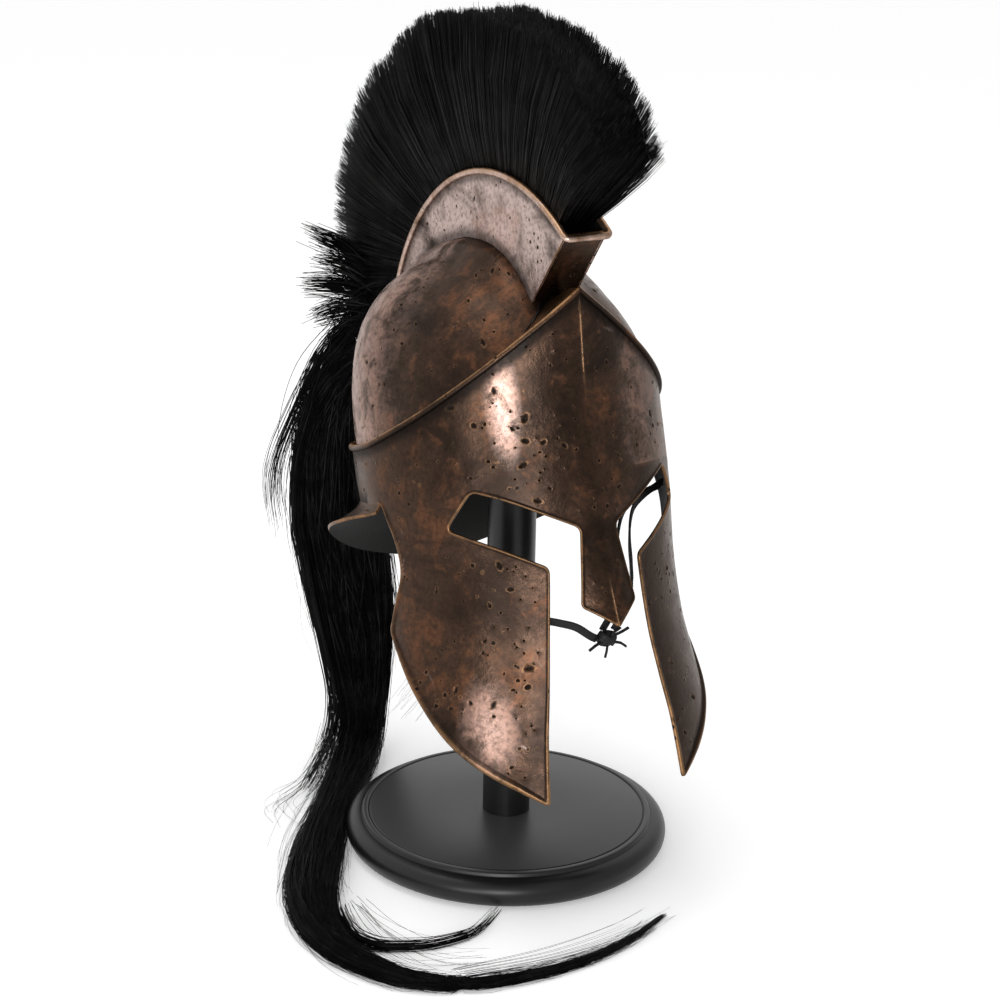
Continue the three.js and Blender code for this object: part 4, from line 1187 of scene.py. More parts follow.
class HELMET_OT_stand(bpy.types.Operator):
    """Turned black base and the post that carries the helmet."""

    bl_idname = "helmet.stand"
    bl_label = "Stand"

    SHARP = 38
    # The step and the groove at the top's edge: distance in from it, depth
    STEP = ((-1.6, 2.7), (-0.6, 2.6), (-0.2, 2.0), (0.1, 0.9), (0.5, 0.3), (1.2, 0))
    GROOVE = ((3.4, 0), (3.8, 0.15), (4.2, 0.8), (4.7, 0.8), (5.1, 0.15), (5.5, 0))
    TOP_INNER_RADIUS = 40
    POST_LIFT = 0.05
    HEAD_RINGS = (1.0, 0.98, 0.9, 0.75, 0.55, 0.35, 0.18)  # shares of the head's radius
    CROWN_LOWEST, CROWN_HIGHEST, CROWN_HALVINGS = 340.0, 440.0, 40

    def execute(self, context):
        settings = context.scene.helmet_stand
        finish = plain("Black Lacquer", settings.colour, settings.gloss,
                       grain_scale=60.0, grain_depth=0.00015, shine=0.36, painted_sheen_lift=0.034)
        base = self.base_part(settings.segments)
        # Painted sheen: the flat top of the base is lighter than its sides, as if it caught the bright
        # backdrop.
        base.wear = 1.0 * (base.points[:, 2] > BASE_HEIGHT - 0.1)
        make_piece("turned_base", base, [finish], "stand_base", sharp=self.SHARP)
        post = self.post_part(settings.segments // 2)
        make_piece("turned_post", post, [finish], "stand_post", sharp=self.SHARP)
        return {"FINISHED"}

    def base_part(self, segments):
        """Flat underside, rounded bead, and a step and a groove round the flat top."""
        edge = BASE_RADIUS - BASE_BEAD
        profile = [(edge - 0.6, 0), (edge + 1.2, 0.35)]
        for turn in range(-70, 81, 10):
            profile.append((edge + BASE_BEAD * math.cos(math.radians(turn)),
                            BASE_BEAD_HEIGHT + BASE_BEAD * math.sin(math.radians(turn))))
        profile += [(BASE_TOP_RADIUS - inset, BASE_HEIGHT - drop) for inset, drop in self.STEP + self.GROOVE]
        profile.append((self.TOP_INNER_RADIUS, BASE_HEIGHT))
        return capped(0, [level_ring(*point, segments) for point in profile], BASE_HEIGHT)

    def post_part(self, segments):
        """A straight shaft that widens into a head shaped to the inside of the crown."""
        neck = HELMET_HEIGHT + SKULL_RISE - POST_HEAD_HEIGHT
        foot = BASE_HEIGHT + self.POST_LIFT
        head = POST_HEAD_RADIUS
        profile = ((POST_RADIUS, foot), (POST_RADIUS, neck - 20), (POST_RADIUS + 3, neck - 17),
                   (head * 0.5, neck - 12), (head * 0.8, neck - 4), (head * 0.94, neck + 2), (head, neck + 8))
        rings = [level_ring(*point, segments) for point in profile]
        for share in self.HEAD_RINGS:
            x, y = circle(head * share, segments).T
            rings.append(np.stack((x, y, self.crown_height(x, y)), axis=1))
        return capped(foot, rings, self.crown_height(np.zeros(1), np.zeros(1))[0])

    def crown_height(self, x, y):
        """Height of the crown's inside, less a seat, over places in the upright plan."""
        low, high = np.full(len(x), self.CROWN_LOWEST), np.full(len(x), self.CROWN_HIGHEST)
        for _ in range(self.CROWN_HALVINGS):
            middle = (low + high) / 2
            place = to_helmet(np.stack((x, y, middle), axis=1))
            under = place[:, 2] < skull_top(place[:, 0], place[:, 1], -SHEET - CROWN_GAP)
            low, high = np.where(under, middle, low), np.where(under, high, middle)
        return low


# The sheet metal

class HELMET_OT_skull(bpy.types.Operator):
    """Upper bowl with its pits and hammer marks."""

    bl_idname = "helmet.skull"
    bl_label = "Upper Bowl"

    def execute(self, context):
        settings = context.scene.helmet_metal
        climbs = np.linspace(90, 0, 500)
        side = skull_point(np.full(500, 90.0), climbs)
        arc = np.concatenate(([0], np.cumsum(np.linalg.norm(np.diff(side, axis=0), axis=1))))

        def place(u, v):
            reach, angle = np.hypot(u, v), np.degrees(np.arctan2(u, -v))
            return skull_point(angle, np.interp(reach, arc, climbs))

        turns = np.linspace(0, 360, 300, endpoint=False)
        seat = np.interp(climb_at(ridge_height(turns) + 0.6, turns), climbs[::-1], arc[::-1])
        across, ahead = np.sin(np.radians(turns)), -np.cos(np.radians(turns))
        loop = np.stack((seat * across, seat * ahead, 0 * seat), axis=1)
        pits = scatter_pits(loop, settings.skull_pits, settings.seed)
        part = sheet_metal(loop, place, settings, pits, settings.seed, (0, SKULL_MIDDLE, 0))
        turn = plan_angle(part.points[:, 0], part.points[:, 1])
        # Painted reflection: lighter towards the back of the dome's sides, where the bright backdrop is
        # reflected.
        part.polish = 1.1 * hump(turn, 124, 28)
        part.points = to_world(part.points)
        make_piece("bronze_skull", part, bronze_finishes(context), "skull", sharp=50)
        return {"FINISHED"}


class HELMET_OT_face_plate(bpy.types.Operator):
    """Lower bowl with cheek plates, nose guard and the rolled ridge."""

    bl_idname = "helmet.face_plate"
    bl_label = "Lower Bowl"

    RIDGE_COLUMNS = 320
    # Painted highlights on the near side: degrees round and width, height and width, strength
    CHEEK_SPOT, BROW_SPOT = (46, 11, -188, 34, 0.54), (29, 6, 12, 36, 0.7)

    def execute(self, context):
        settings = context.scene.helmet_metal

        def place(u, v):
            return bowl_point(u / DEGREE_LENGTH, v)

        def fold(height):
            return np.maximum(smoothstep(height, 0, 30), smoothstep(-height, 92, 115))

        loop = self.outline()
        pits = scatter_pits(loop, settings.face_pits, settings.seed + 1)
        wall = sheet_metal(loop, place, settings, pits, settings.seed + 1, (0, SKULL_MIDDLE, -60),
                           tuck_shade=0.9, crease=fold)
        wall.polish = self.polish(wall.points)
        part = joined([wall, self.ridge()])
        part.points = to_world(part.points)
        make_piece("bronze_face", part, bronze_finishes(context), "face_plate", sharp=50)
        return {"FINISHED"}

    def polish(self, points):
        """Painted highlights on the near cheek and brow with the rest of that side a little darker, and
        painted shade over the far cheek.
        """
        x, y, z = points.T
        turn = np.degrees(np.arctan2(np.abs(x), SKULL_MIDDLE - y))
        painted_sheen_and_wear = highlight_spot(turn, z, self.CHEEK_SPOT) + highlight_spot(turn, z, self.BROW_SPOT)
        # Far side: painted shade over the cheek and a faint painted highlight on the brow.
        far = np.where(z < -40, -0.9, 0.15) * smoothstep(turn, 12, 24)
        # Near side: the painted highlights, and everywhere else a little darker.
        return np.where(x > 0, far, painted_sheen_and_wear - 0.16)

    def outline(self):
        """The whole flat outline, from the seam at the back along the ridge and back under the face."""
        tip = (*NOSE_TIP, 3, 0.9)
        near = [(-a, h, r, roll) for a, h, r, roll in FACE_OUTLINE]
        end = (100, NECK_ROOT, 0, 0.0)
        rows = [(-100, *end[1:]), *near[::-1], tip, *FACE_OUTLINE, end]
        scaled = [(a * DEGREE_LENGTH, h, r, roll) for a, h, r, roll in rows]
        below = round_corners(scaled)
        rear = np.linspace(104, 180, 24) * DEGREE_LENGTH
        right = np.stack((rear, np.full(24, NECK_ROOT), np.zeros(24)), axis=1)
        left = right[::-1] * (-1, 1, 1)
        turns = np.linspace(180, -180, self.RIDGE_COLUMNS + 1)
        top = np.stack((turns * DEGREE_LENGTH, ridge_height(turns) - 1.0, 0 * turns), axis=1)
        return np.vstack((left, below, right, top))

    def ridge(self):
        """The rolled ridge and the ledge that runs in from it under the dome."""
        turns = np.linspace(0, 360, self.RIDGE_COLUMNS, endpoint=False)
        height = ridge_height(turns)
        rim = bowl_point(turns, height)
        out = rim - (0, SKULL_MIDDLE, 0)
        out[:, 2] = 0
        out /= np.linalg.norm(out, axis=1, keepdims=True)
        ledge = skull_point(turns, climb_at(height, turns), -SHEET - 1)
        half = np.array((0, 0, SHEET / 2))
        ledge[:, 2] = height
        rings = [ledge + half]
        tops = [0.0]
        for turn in np.radians(np.linspace(140, -140, 15)):
            rings.append(rim + RIDGE_ROLL * (math.cos(turn) * out + math.sin(turn) * np.array((0, 0, 1))))
            tops.append(math.sin(turn))
        rings.append(ledge - half)
        tops.append(-1.0)
        # Gold on the top of the roll, partly real wear and partly painted highlight; painted shadow on its
        # underside.
        wear, dark = 0.8 * smoothstep(np.array(tops), 0.2, 0.9), 0.9 * smoothstep(-np.array(tops), 0.1, 0.6)
        wear, dark = np.tile(wear, self.RIDGE_COLUMNS), np.tile(dark, self.RIDGE_COLUMNS)
        return skin(np.stack(rings, axis=1), closed=True, flipped=True, wear=wear, pit=dark)


class HELMET_OT_neck_guard(bpy.types.Operator):
    """Flared neck guard with a rolled rim."""

    bl_idname = "helmet.neck_guard"
    bl_label = "Neck Guard"

    def execute(self, context):
        settings = context.scene.helmet_metal

        def place(u, v):
            return neck_point(u / DEGREE_LENGTH, -v / NECK_LENGTH)

        first, last = NECK_RIM[0, 0] * DEGREE_LENGTH, (360 - NECK_RIM[0, 0]) * DEGREE_LENGTH
        loop = np.array([
            (first, 0, 0.8), (first, -NECK_LENGTH, 1.8), (last, -NECK_LENGTH, 0.8), (last, 0, 0.0),
        ])
        pits = scatter_pits(loop, settings.neck_pits, settings.seed + 2)
        part = sheet_metal(loop, place, settings, pits, settings.seed + 2, (0, SKULL_MIDDLE, -40))
        part.points = to_world(part.points)
        make_piece("bronze_neck_guard", part, bronze_finishes(context), "neck_guard", sharp=50)
        return {"FINISHED"}


class HELMET_OT_crest_box(bpy.types.Operator):
    """Side and front plates of the crest with their rolled rim."""

    bl_idname = "helmet.crest_box"
    bl_label = "Crest Box"

    RIM_RADIUS = 2.3
    # A painted highlight on the near side plate: middle and width ahead, middle and width in height,
    # strength.
    PAINTED_HIGHLIGHT = (-32, 30, 116, 15, 0.75)

    def execute(self, context):
        settings = context.scene.helmet_metal
        loop, foot = self.side_outline()
        parts = []
        for side in (-1, 1):
            def place(u, v, side=side):
                return np.stack((side * CREST_HALF_WIDTH + 0 * u, u, v), axis=1)

            seed = settings.seed + 5 + side
            pits = scatter_pits(loop, settings.crest_pits, seed)
            parts.append(sheet_metal(loop, place, settings, pits, seed, (0, 0, 100), step=4, tuck_shade=0.7))
        parts += [self.front_plate(foot, settings), self.rim()]
        part = joined(parts)
        across, ahead, height = part.points.T
        # Painted highlight on the near side plate only.
        part.polish = highlight_spot(ahead, height, self.PAINTED_HIGHLIGHT) * (across < 0)
        part.points = to_world(part.points)
        make_piece("bronze_crest_box", part, crest_finishes(context), "crest_box", sharp=50)
        return {"FINISHED"}

    def side_outline(self):
        """Leaning front edge, arc on top, upright rear edge and a lower edge that follows the dome."""
        places = np.linspace(CREST_TOP, CREST_REAR, 400)
        lean = (CREST_FOOT_HEIGHT - crest_arc(CREST_TOP)) / (CREST_FOOT - CREST_TOP)
        front = crest_arc(CREST_TOP) + lean * (places - CREST_TOP)
        below = np.maximum(self.floor_under(np.full(400, CREST_HALF_WIDTH), places), CREST_FOOT_HEIGHT)
        meets = places[np.argmax(front <= below)]
        foot = (meets, crest_arc(CREST_TOP) + lean * (meets - CREST_TOP))
        lower = [(y, z, 0.0) for y, z in zip(places, below) if y > meets + 1][::4]
        top = [(y, crest_arc(y), 0.0) for y in np.linspace(CREST_REAR, CREST_TOP, 60)]
        top[-1] = (*top[-1][:2], 0.4)
        return np.array([(*foot, 0.0), *lower, (CREST_REAR, below[-1], 0.0), *top]), foot

    def floor_under(self, x, y):
        """Height of the dome, or of the ledge in front of it, under places in their plan."""
        return np.maximum(skull_top(x, y) + 0.4, ridge_height(plan_angle(x, y)) + 1.4)

    def front_plate(self, foot, settings):
        start, end = np.array(foot), np.array((CREST_TOP, crest_arc(CREST_TOP)))
        length = np.linalg.norm(end - start)
        ahead = (end - start) / length

        def place(u, v):
            return np.stack((u, start[0] + ahead[0] * v, start[1] + ahead[1] * v), axis=1)

        half = CREST_HALF_WIDTH - 0.2
        heights = np.linspace(0, 25, 250)
        lower = []
        for across in np.linspace(-half, half, 13):
            _, y, z = place(across + 0 * heights, heights).T
            lower.append((across, heights[np.argmax(z >= self.floor_under(across, y))], 0.0))
        loop = np.array([*lower, (half, length, 0.5), (-half, length, 0.5)])
        part = sheet_metal(loop, place, settings, [], settings.seed + 9, (0, 0, 120), step=4)
        part.finish[part.finish == 0] = 2
        return part

    def rim(self):
        """One rolled rim along both arcs and across the front."""
        half, corner = CREST_HALF_WIDTH + 0.2, 3.0
        arc = np.linspace(CREST_REAR, CREST_TOP, 90)
        side = np.stack((np.full(90, half), arc, crest_arc(arc)), axis=1)
        front = np.array((0, CREST_TOP, crest_arc(CREST_TOP)))
        turns = np.radians(np.linspace(0, 90, 7))
        ahead = side[-1] - side[-2]
        ahead /= np.linalg.norm(ahead)
        bend = [front + (half - corner * (1 - math.cos(t)), 0, 0) + ahead * corner * math.sin(t)
                for t in turns]
        right = np.vstack((side, bend[1:]))
        left = right[::-1] * (-1, 1, 1)
        section = np.array(circle(self.RIM_RADIUS, 12))
        # Worn gold all round the rim, stronger on its upper half as painted highlight.
        wear = 0.3 + 0.5 * smoothstep(section[:, 1], 0, self.RIM_RADIUS)
        return sweep(np.vstack((right, left)), section, (0, 0.3, 1.0), wear=np.tile(wear, 2 * len(right)))


# The hair

def fan_reach(turn):
    return along(FAN_REACH[:, 0], FAN_REACH[:, 1], turn)


def box_reach(turn):
    """Distance from the fan's middle to the top of the crest box, along a direction."""
    away = np.array((FAN_MIDDLE - CREST_ARC_MIDDLE, FAN_HEIGHT - CREST_ARC_HEIGHT))
    forward = away[0] * np.cos(np.radians(turn)) + away[1] * np.sin(np.radians(turn))
    return -forward + np.sqrt(forward ** 2 + CREST_ARC_RADIUS ** 2 - away @ away)


def fan_point(turn, reach, x):
    turn = np.radians(turn)
    y, z = FAN_MIDDLE + reach * np.cos(turn), FAN_HEIGHT + reach * np.sin(turn)
    return np.stack((x + 0 * reach, y, z), axis=-1)


def fan_root(turn):
    """The bristles stand closer together in the box than at their tips."""
    return np.interp(turn, FAN_TIPS, FAN_ROOTS)


def fan_thinning(turn):
    """The brush is thinner at its rear end."""
    return np.clip(0.5 + 0.5 * (turn - FAN_TIPS[0]) / 9, 0.45, 1)


def bundle(draw, route, count, spread, radius, floor=-1e3, steps=16):
    """A loose lock of strands along a route, with its spread at the start and at the end."""
    route = np.asarray(route, float)
    keys = np.linspace(0, 1, len(route))
    share = np.linspace(0, 1, steps) * (0.72 + 0.28 * draw.random((count, 1)))
    middle = np.stack([along(keys, route[:, k], share) for k in range(3)], axis=-1)
    wide = spread[0] + (spread[1] - spread[0]) * share[..., None]
    paths = middle + draw.normal(0, 1, (count, 1, 3)) * wide
    paths += draw.normal(0, 0.3 * max(spread), (count, 1, 3)) * np.sin(math.pi * share)[..., None]
    size = radius * np.linspace(1, 0.5, steps) * np.ones((count, 1))
    paths[..., 2] = np.maximum(paths[..., 2], floor + size)
    return tubes(paths, size)


def bristle_tree():
    """A bristle on each point, along its own direction, ruffled more towards its tip."""
    tree = bpy.data.node_groups.new("Bristles", "GeometryNodeTree")
    sockets = {}
    for name, kind in (("Geometry", "Geometry"), ("Bristle Radius", "Float"), ("Ruffle", "Float"),
                       ("Bulge", "Float"), ("Seed", "Float"), ("Finish", "Material")):
        sockets[name] = tree.interface.new_socket(name, in_out="INPUT", socket_type="NodeSocket" + kind)
    tree.interface.new_socket("Geometry", in_out="OUTPUT", socket_type="NodeSocketGeometry")
    make = Tree(tree)
    given = make.add("NodeGroupInput").outputs

    def named(name, kind):
        return make.add("GeometryNodeInputNamedAttribute", {"Name": name}, data_type=kind).outputs[0]

    points = make.add("GeometryNodeMeshToPoints", {"Mesh": given["Geometry"]})
    cone = make.add("GeometryNodeMeshCone", {
        "Vertices": 3, "Side Segments": 3, "Fill Segments": 1, "Radius Top": 0.35, "Radius Bottom": 1.0,
        "Depth": 1.0}, fill_type="NGON")
    along_cone = make.add("GeometryNodeInputPosition").outputs[0]
    height = make.add("ShaderNodeSeparateXYZ", {0: along_cone}).outputs[2]
    marked = make.add("GeometryNodeStoreNamedAttribute", {
        "Geometry": cone.outputs["Mesh"], "Name": "share", "Value": height},
        data_type="FLOAT", domain="POINT")
    direction = named("direction", "FLOAT_VECTOR")
    aim = make.add("FunctionNodeAlignRotationToVector", {"Vector": direction}, axis="Z")
    size = make.add("ShaderNodeCombineXYZ", {
        0: given["Bristle Radius"], 1: given["Bristle Radius"], 2: named("length", "FLOAT")})
    spread = make.add("GeometryNodeInstanceOnPoints", {
        "Points": points.outputs[0], "Instance": marked.outputs[0],
        "Rotation": aim.outputs[0], "Scale": size.outputs[0]})
    real = make.add("GeometryNodeRealizeInstances", {"Geometry": spread.outputs[0]})
    share = named("share", "FLOAT")
    place = make.add("GeometryNodeInputPosition").outputs[0]
    waves = make.add("ShaderNodeTexNoise", {
        "Vector": place, "W": given["Seed"], "Scale": 34.0, "Detail": 2.0}, noise_dimensions="4D")
    centred = make.add("ShaderNodeVectorMath", {0: waves.outputs["Color"], 1: (0.5, 0.5, 0.5)},
                       operation="SUBTRACT")
    growth = make.calc("MULTIPLY", make.calc("POWER", share, 1.6), given["Ruffle"])
    stray = make.add("ShaderNodeVectorMath", {0: centred.outputs[0]}, operation="SCALE")
    tree.links.new(growth, stray.inputs["Scale"])
    across = make.add("ShaderNodeSeparateXYZ", {0: place}).outputs[0]
    belly = make.calc("MULTIPLY", share, make.calc("SUBTRACT", 1.0, share))
    swell = make.calc("MULTIPLY", across, make.calc("MULTIPLY", belly, given["Bulge"]))
    outwards = make.add("ShaderNodeCombineXYZ", {0: swell})
    shift = make.add("ShaderNodeVectorMath", {0: stray.outputs[0], 1: outwards.outputs[0]}, operation="ADD")
    moved = make.add("GeometryNodeSetPosition", {"Geometry": real.outputs[0], "Offset": shift.outputs[0]})
    smooth = make.add("GeometryNodeSetShadeSmooth", {"Geometry": moved.outputs[0]})
    done = make.add("GeometryNodeSetMaterial", {"Geometry": smooth.outputs[0], "Material": given["Finish"]})
    make.add("NodeGroupOutput", {"Geometry": done.outputs[0]})
    return tree, {name: socket.identifier for name, socket in sockets.items()}


class HELMET_OT_crest_hair(bpy.types.Operator):
    """Trimmed horsehair brush: a dark body with bristles fanned out over it."""

    bl_idname = "helmet.crest_hair"
    bl_label = "Crest Hair"

    # Short tufts that stick out at the rear, in the upright frame
    TUFTS = (
        ((-12, 186, 356), (-30, 200, 373), (-58, 204, 387)),
        ((-12, 185, 349), (-30, 198, 360), (-50, 202, 366)),
        ((-12, 184, 339), (-34, 199, 346), (-61, 204, 349)),
        ((-12, 180, 330), (-32, 194, 332), (-54, 202, 325)),
        ((-12, 176, 324), (-28, 190, 322), (-44, 199, 309)),
    )

    def execute(self, context):
        settings = context.scene.helmet_hair
        finish = hair_finish(context)
        make_piece("crest_body", self.body(), [finish], "crest_hair")
        tree, sockets = bristle_tree()
        for i, name in enumerate(("crest_bristles_inner", "crest_bristles_outer")):
            roots = self.roots(settings, i)
            modifier = roots.modifiers.new("Bristles", "NODES")
            modifier.node_group = tree
            values = {"Bristle Radius": settings.bristle_radius, "Ruffle": settings.ruffle, "Bulge": 0.9,
                      "Seed": float(settings.seed + i), "Finish": finish}
            for key, value in values.items():
                modifier[sockets[key]] = value
            bpy.context.scene.collection.objects.link(roots)
            graph = context.evaluated_depsgraph_get()
            mesh = bpy.data.meshes.new_from_object(roots.evaluated_get(graph))
            mesh.name = name
            piece = bpy.data.objects.new(name, mesh)
            bpy.context.scene.collection.objects.link(piece)
            roots.modifiers.clear()
            bpy.data.objects.remove(roots)
            if not len(mesh.polygons):
                raise RuntimeError(name + " came out empty")
            placed(piece, "crest_hair")
        draw = np.random.default_rng(settings.seed + 30)
        tufts = [bundle(draw, np.array(route) * (side, 1, 1), 110, (4.4, 4.0), 0.36)
                 for side in (1, -1) for route in self.TUFTS]
        make_piece("crest_tufts", joined(tufts), [finish], "crest_hair")
        return {"FINISHED"}

    def body(self):
        """The brush's dark inside, a little smaller than the bristles."""
        turns = np.linspace(FAN_TIPS[0] + 1, FAN_TIPS[1] - 1, 90)
        reach = fan_reach(turns) - 5
        thin = fan_thinning(turns)
        root = fan_root(turns)
        box = box_reach(root)
        sections = (
            (0, box - 10, 11.5), (0, box + 1, 11.8), (0.45, box + (reach - box) * 0.45, 15.8),
            (0.96, reach - 3, 18.6), (1, reach, 15.5),
        )
        ring = [*sections, *((lean, at, -half) for lean, at, half in sections[::-1])]
        points = np.stack([fan_point(root + (turns - root) * lean, at, half * thin)
                           for lean, at, half in ring], axis=1)
        part = skin(points)
        part.points = to_world(part.points)
        return part

    def roots(self, settings, layer):
        """Points with each bristle's direction and length; the outer layer covers the two faces."""
        draw = np.random.default_rng(settings.seed + 10 * layer)
        count = settings.bristles
        turn = draw.uniform(*FAN_TIPS, count)
        x = draw.uniform(-1, 1, count)
        if layer:
            x = np.sign(x) * (1 - 0.22 * draw.random(count) ** 1.5)
        x = x * fan_thinning(turn)
        tuft = np.round(turn / 1.6 + 0.3 * np.sin(turn * 5)) * 1.6
        lock = 7 * np.floor(turn / 1.6) + np.floor(x * 3)
        uneven = np.sin(lock * 12.9898) * 43758.5453 % 1
        lean = 0.35 * (tuft - turn) + draw.normal(0, 0.5, count)
        reach = fan_reach(turn) + 3.5 * (uneven - 0.5) + draw.normal(0, 1.0, count)
        loose = draw.random(count) < 0.012
        lean[loose] += draw.normal(0, 3.5, int(loose.sum()))
        reach[loose] += draw.uniform(0, 4, int(loose.sum()))
        root = fan_root(turn)
        start = to_world(fan_point(root, box_reach(root) - 7, FAN_ROOT_HALF * 0.95 * x)) * MM
        spread = (FAN_TIP_HALF + 1.2 * (uneven - 0.5)) * x + draw.normal(0, 0.7, count)
        end = to_world(fan_point(turn + lean, reach, spread)) * MM
        mesh = bpy.data.meshes.new("bristle_roots")
        mesh.from_pydata(start.tolist(), [], [])
        run = end - start
        length = np.linalg.norm(run, axis=1)
        mesh.attributes.new("direction", "FLOAT_VECTOR", "POINT").data.foreach_set("vector", run.reshape(-1))
        mesh.attributes.new("length", "FLOAT", "POINT").data.foreach_set("value", length)
        mesh.attributes.new("polish", "FLOAT", "POINT").data.foreach_set("value", hair_tone(count))
        return bpy.data.objects.new("bristle_roots", mesh)


class HELMET_OT_tail(bpy.types.Operator):
    """Long tail of loose horsehair that hangs behind and lies on the floor."""

    bl_idname = "helmet.tail"
    bl_label = "Tail"

    STEPS = 34
    FLOOR = 0.7
    # Locks that leave the tail, in the upright frame: strands, spread at start and end, radius, route
    LOCKS = (
        (64, 2.6, 2.0, 0.3, ((-152, -60, 5), (-156, -87, 4), (-148, -105, 3), (-135, -112, 2.4),
                             (-117, -118, 2), (-95, -118, 1.8), (-78, -113, 1.5), (-53, -93, 1.2))),
        (150, 6.0, 8.0, 0.36, ((-8, 172, 336), (-20, 185, 322), (-31, 192, 294), (-36, 194, 249))),
        (60, 2.5, 3.0, 0.34, ((-58, 190, 266), (-70, 192, 219), (-72, 190, 169), (-62, 186, 122))),
        (84, 2.5, 3.2, 0.32, ((-70, 190, 180), (-62, 188, 125), (-53, 184, 78), (-49, 178, 44),
                              (-57, 168, 18), (-79, 143, 9), (-102, 116, 4))),
        (50, 2.5, 4.0, 0.3, ((-54, 188, 116), (-47, 184, 69), (-44, 176, 36), (-55, 162, 12), (-77, 130, 6),
                             (-103, 104, 3))),
        (18, 2.0, 9.0, 0.17, ((-66, 154, 14), (-96, 122, 6), (-122, 104, 4), (-128, 78, 3))),
        (54, 2.5, 4.0, 0.3, ((-48, 196, 300), (-66, 200, 262), (-84, 200, 216), (-82, 196, 170))),
        (130, 4.5, 4.5, 0.34, ((-26, 188, 322), (-48, 196, 293), (-61, 198, 256), (-65, 196, 214),
                               (-62, 192, 168))),
        (24, 3.0, 9.0, 0.17, ((2, 172, 164), (14, 152, 109), (8, 142, 66), (-24, 150, 24))),
        (26, 4.0, 6.0, 0.17, ((-60, 150, 24), (-96, 96, 12), (-140, 40, 7), (-172, -20, 3))),
        (30, 4.0, 7.0, 0.17, ((-150, 0, 8), (-178, -60, 5), (-176, -110, 3), (-150, -156, 2))),
        (14, 3.0, 8.0, 0.17, ((-140, -60, 8), (-138, -100, 5), (-122, -140, 3), (-80, -158, 2))),
        (26, 3.0, 6.0, 0.17, ((-120, -165, 5), (-60, -172, 4), (-5, -166, 3), (38, -150, 1.5))),
    )

    def execute(self, context):
        settings = context.scene.helmet_hair
        finish = hair_finish(context)
        make_piece("tail_body", self.body(), [finish], "tail_hair")
        draw = np.random.default_rng(settings.seed + 40)
        for name in ("tail_strands_inner", "tail_strands_outer"):
            outer = name.endswith("outer")
            part = self.strands(draw, settings.tail_strands, settings.strand_radius / MM, outer)
            make_piece(name, part, [finish], "tail_hair")
        locks = [bundle(draw, route, count, (first, last), radius, self.FLOOR)
                 for count, first, last, radius, route in self.LOCKS]
        part = joined([*locks, self.strays(draw, settings.strays)])
        make_piece("tail_loose_hair", part, [finish], "tail_hair")
        return {"FINISHED"}

    def frame_at(self, share):
        """Middle, directions across and up, and half sizes at shares of the tail's length."""
        keys = np.linspace(0, 1, len(TAIL))
        column = [along(keys, TAIL[:, k], share) for k in range(5)]
        middle = np.stack(column[:3], axis=-1)
        step = 0.004
        ends = [np.stack([along(keys, TAIL[:, k], np.clip(share + d, 0, 1)) for k in range(3)], axis=-1)
                for d in (step, -step)]
        ahead = ends[0] - ends[1]
        ahead /= np.linalg.norm(ahead, axis=-1, keepdims=True)
        broad = np.stack((1 + 0 * share, -0.45 * np.minimum(1, share * 8), 0 * share), axis=-1)
        across = broad - ahead * np.sum(ahead * broad, axis=-1, keepdims=True)
        across /= np.linalg.norm(across, axis=-1, keepdims=True)
        narrow = 1 - 0.24 * smoothstep(share, 0.33, 0.44)
        return middle, across, np.cross(across, ahead), column[3] * narrow, column[4]

    def body(self):
        share = np.linspace(0.01, 0.985, 90)
        middle, across, up, half, thick = self.frame_at(share)
        turns = full_turn(16)
        end = np.minimum(1, (1 - share) * 8 + 0.1) * (1 - 0.3 * smoothstep(share, 0.36, 0.5))
        ring = (across[:, None] * (0.86 * half * end)[:, None, None] * np.cos(turns)[None, :, None]
                + up[:, None] * (0.82 * thick * end)[:, None, None] * np.sin(turns)[None, :, None])
        points = middle[:, None] + ring
        points[..., 2] = np.maximum(points[..., 2], self.FLOOR)
        return skin(points, flipped=True)

    def strands(self, draw, count, radius, outer):
        """Strands that keep their own place in the bundle and wander slowly about it."""
        start = 0.045 * draw.random(count)
        end = 0.5 + 0.5 * draw.random(count) ** 0.75
        share = start[:, None] + (end - start)[:, None] * np.linspace(0, 1, self.STEPS)
        middle, across, up, half, thick = self.frame_at(share)
        reach = (0.9 + 0.16 * draw.random(count)) if outer else np.sqrt(draw.random(count)) * 0.98
        turn = draw.uniform(0, 2 * math.pi, count)
        drift = draw.normal(0, 0.22, (count, 3))
        wave = 0
        for k in range(3):
            phase = (2.2 + 2.4 * k) * math.pi * share + 6.3 * draw.random((count, 1))
            wave = wave + drift[:, k, None] * np.sin(phase)
        swing = turn[:, None] + 1.2 * wave
        spread = reach[:, None] * (1 + (0.22 + 0.3 * smoothstep(share, 0.36, 0.55)) * wave)
        paths = (middle + across * (half * spread * np.cos(swing))[..., None]
                 + up * (thick * spread * np.sin(swing))[..., None])
        size = radius * (0.7 + 0.5 * draw.random((count, 1))) * np.linspace(1, 0.45, self.STEPS)
        paths[..., 2] = np.maximum(paths[..., 2], self.FLOOR + size)
        return tubes(paths, size + np.zeros(paths.shape[:2]))

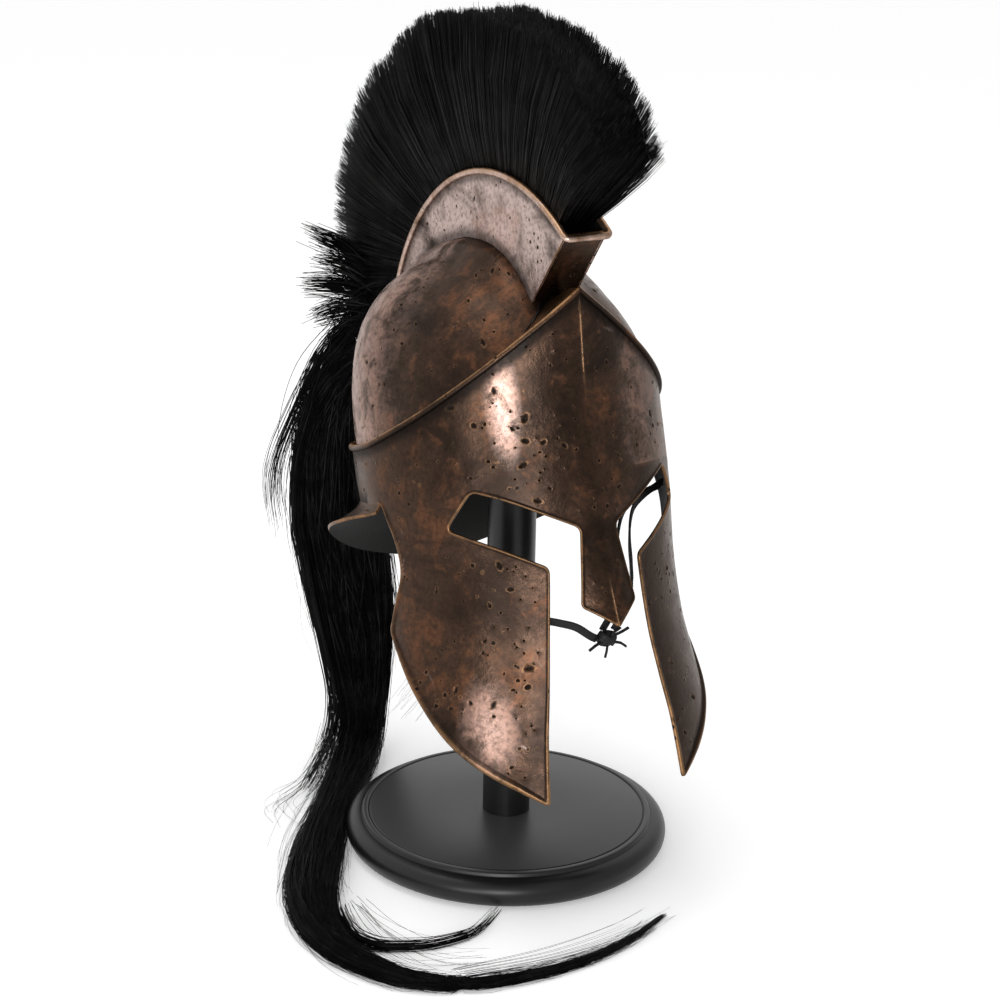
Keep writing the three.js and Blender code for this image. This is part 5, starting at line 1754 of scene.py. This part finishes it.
    def strays(self, draw, count):
        """Single hairs that leave the bundle and curl away from it, more of them on the floor."""
        low = np.where(draw.random(count) < 0.6, 0.42, 0.06)
        start = low + draw.random(count) * (0.9 - low)
        end = np.minimum(start + draw.uniform(0.05, 0.2, count), 0.98)
        way = np.linspace(0, 1, 26)
        share = start[:, None] + (end - start)[:, None] * way
        middle, across, up, half, thick = self.frame_at(share)
        turn = draw.uniform(0, 2 * math.pi, (count, 1)) + 0.6 * draw.normal(0, 1, (count, 1)) * way
        away = 0.9 + draw.uniform(0.1, 0.75, (count, 1)) * way ** 1.5
        curl = draw.uniform(0.5, 5, (count, 1)) * way
        phase = draw.uniform(0, 6.3, (count, 1)) + draw.uniform(3, 13, (count, 1)) * way
        paths = (middle + across * (half * away * np.cos(turn) + curl * np.cos(phase))[..., None]
                 + up * (thick * away * np.sin(turn) + 0.7 * curl * np.sin(phase))[..., None])
        size = 0.15 * np.linspace(1, 0.6, 26) * np.ones((count, 1))
        paths[..., 2] = np.maximum(paths[..., 2], self.FLOOR + size)
        return tubes(paths, size)


class HELMET_PT_tools(bpy.types.Panel):
    """Lists the helmet's pieces and their settings."""

    bl_label = "Greek Bronze Helmet"
    bl_idname = "HELMET_PT_tools"
    bl_space_type = "VIEW_3D"
    bl_region_type = "UI"
    bl_category = "Helmet"

    def draw(self, context):
        for operator in OPERATORS:
            self.layout.operator(operator.bl_idname)
        for name, settings in SETTINGS.items():
            box = self.layout.box()
            for key in settings.__annotations__:
                box.prop(getattr(context.scene, name), key)


SETTINGS = {
    "helmet_stage": StageSettings,
    "helmet_lace": LaceSettings,
    "helmet_stand": StandSettings,
    "helmet_metal": MetalSettings,
    "helmet_hair": HairSettings,
}
OPERATORS = (
    HELMET_OT_stage, HELMET_OT_laces, HELMET_OT_stand, HELMET_OT_skull, HELMET_OT_face_plate,
    HELMET_OT_neck_guard, HELMET_OT_crest_box, HELMET_OT_crest_hair, HELMET_OT_tail,
)


def register():
    for cls in (*SETTINGS.values(), *OPERATORS, HELMET_PT_tools):
        bpy.utils.register_class(cls)
    for name, settings in SETTINGS.items():
        setattr(bpy.types.Scene, name, PointerProperty(type=settings))


def unregister():
    for name in SETTINGS:
        delattr(bpy.types.Scene, name)
    for cls in (HELMET_PT_tools, *reversed(OPERATORS), *reversed(SETTINGS.values())):
        bpy.utils.unregister_class(cls)


def main():
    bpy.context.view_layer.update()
    register()
    for operator in OPERATORS:
        group, name = operator.bl_idname.split(".")
        getattr(getattr(bpy.ops, group), name)()


if __name__ == "__main__":
    main()
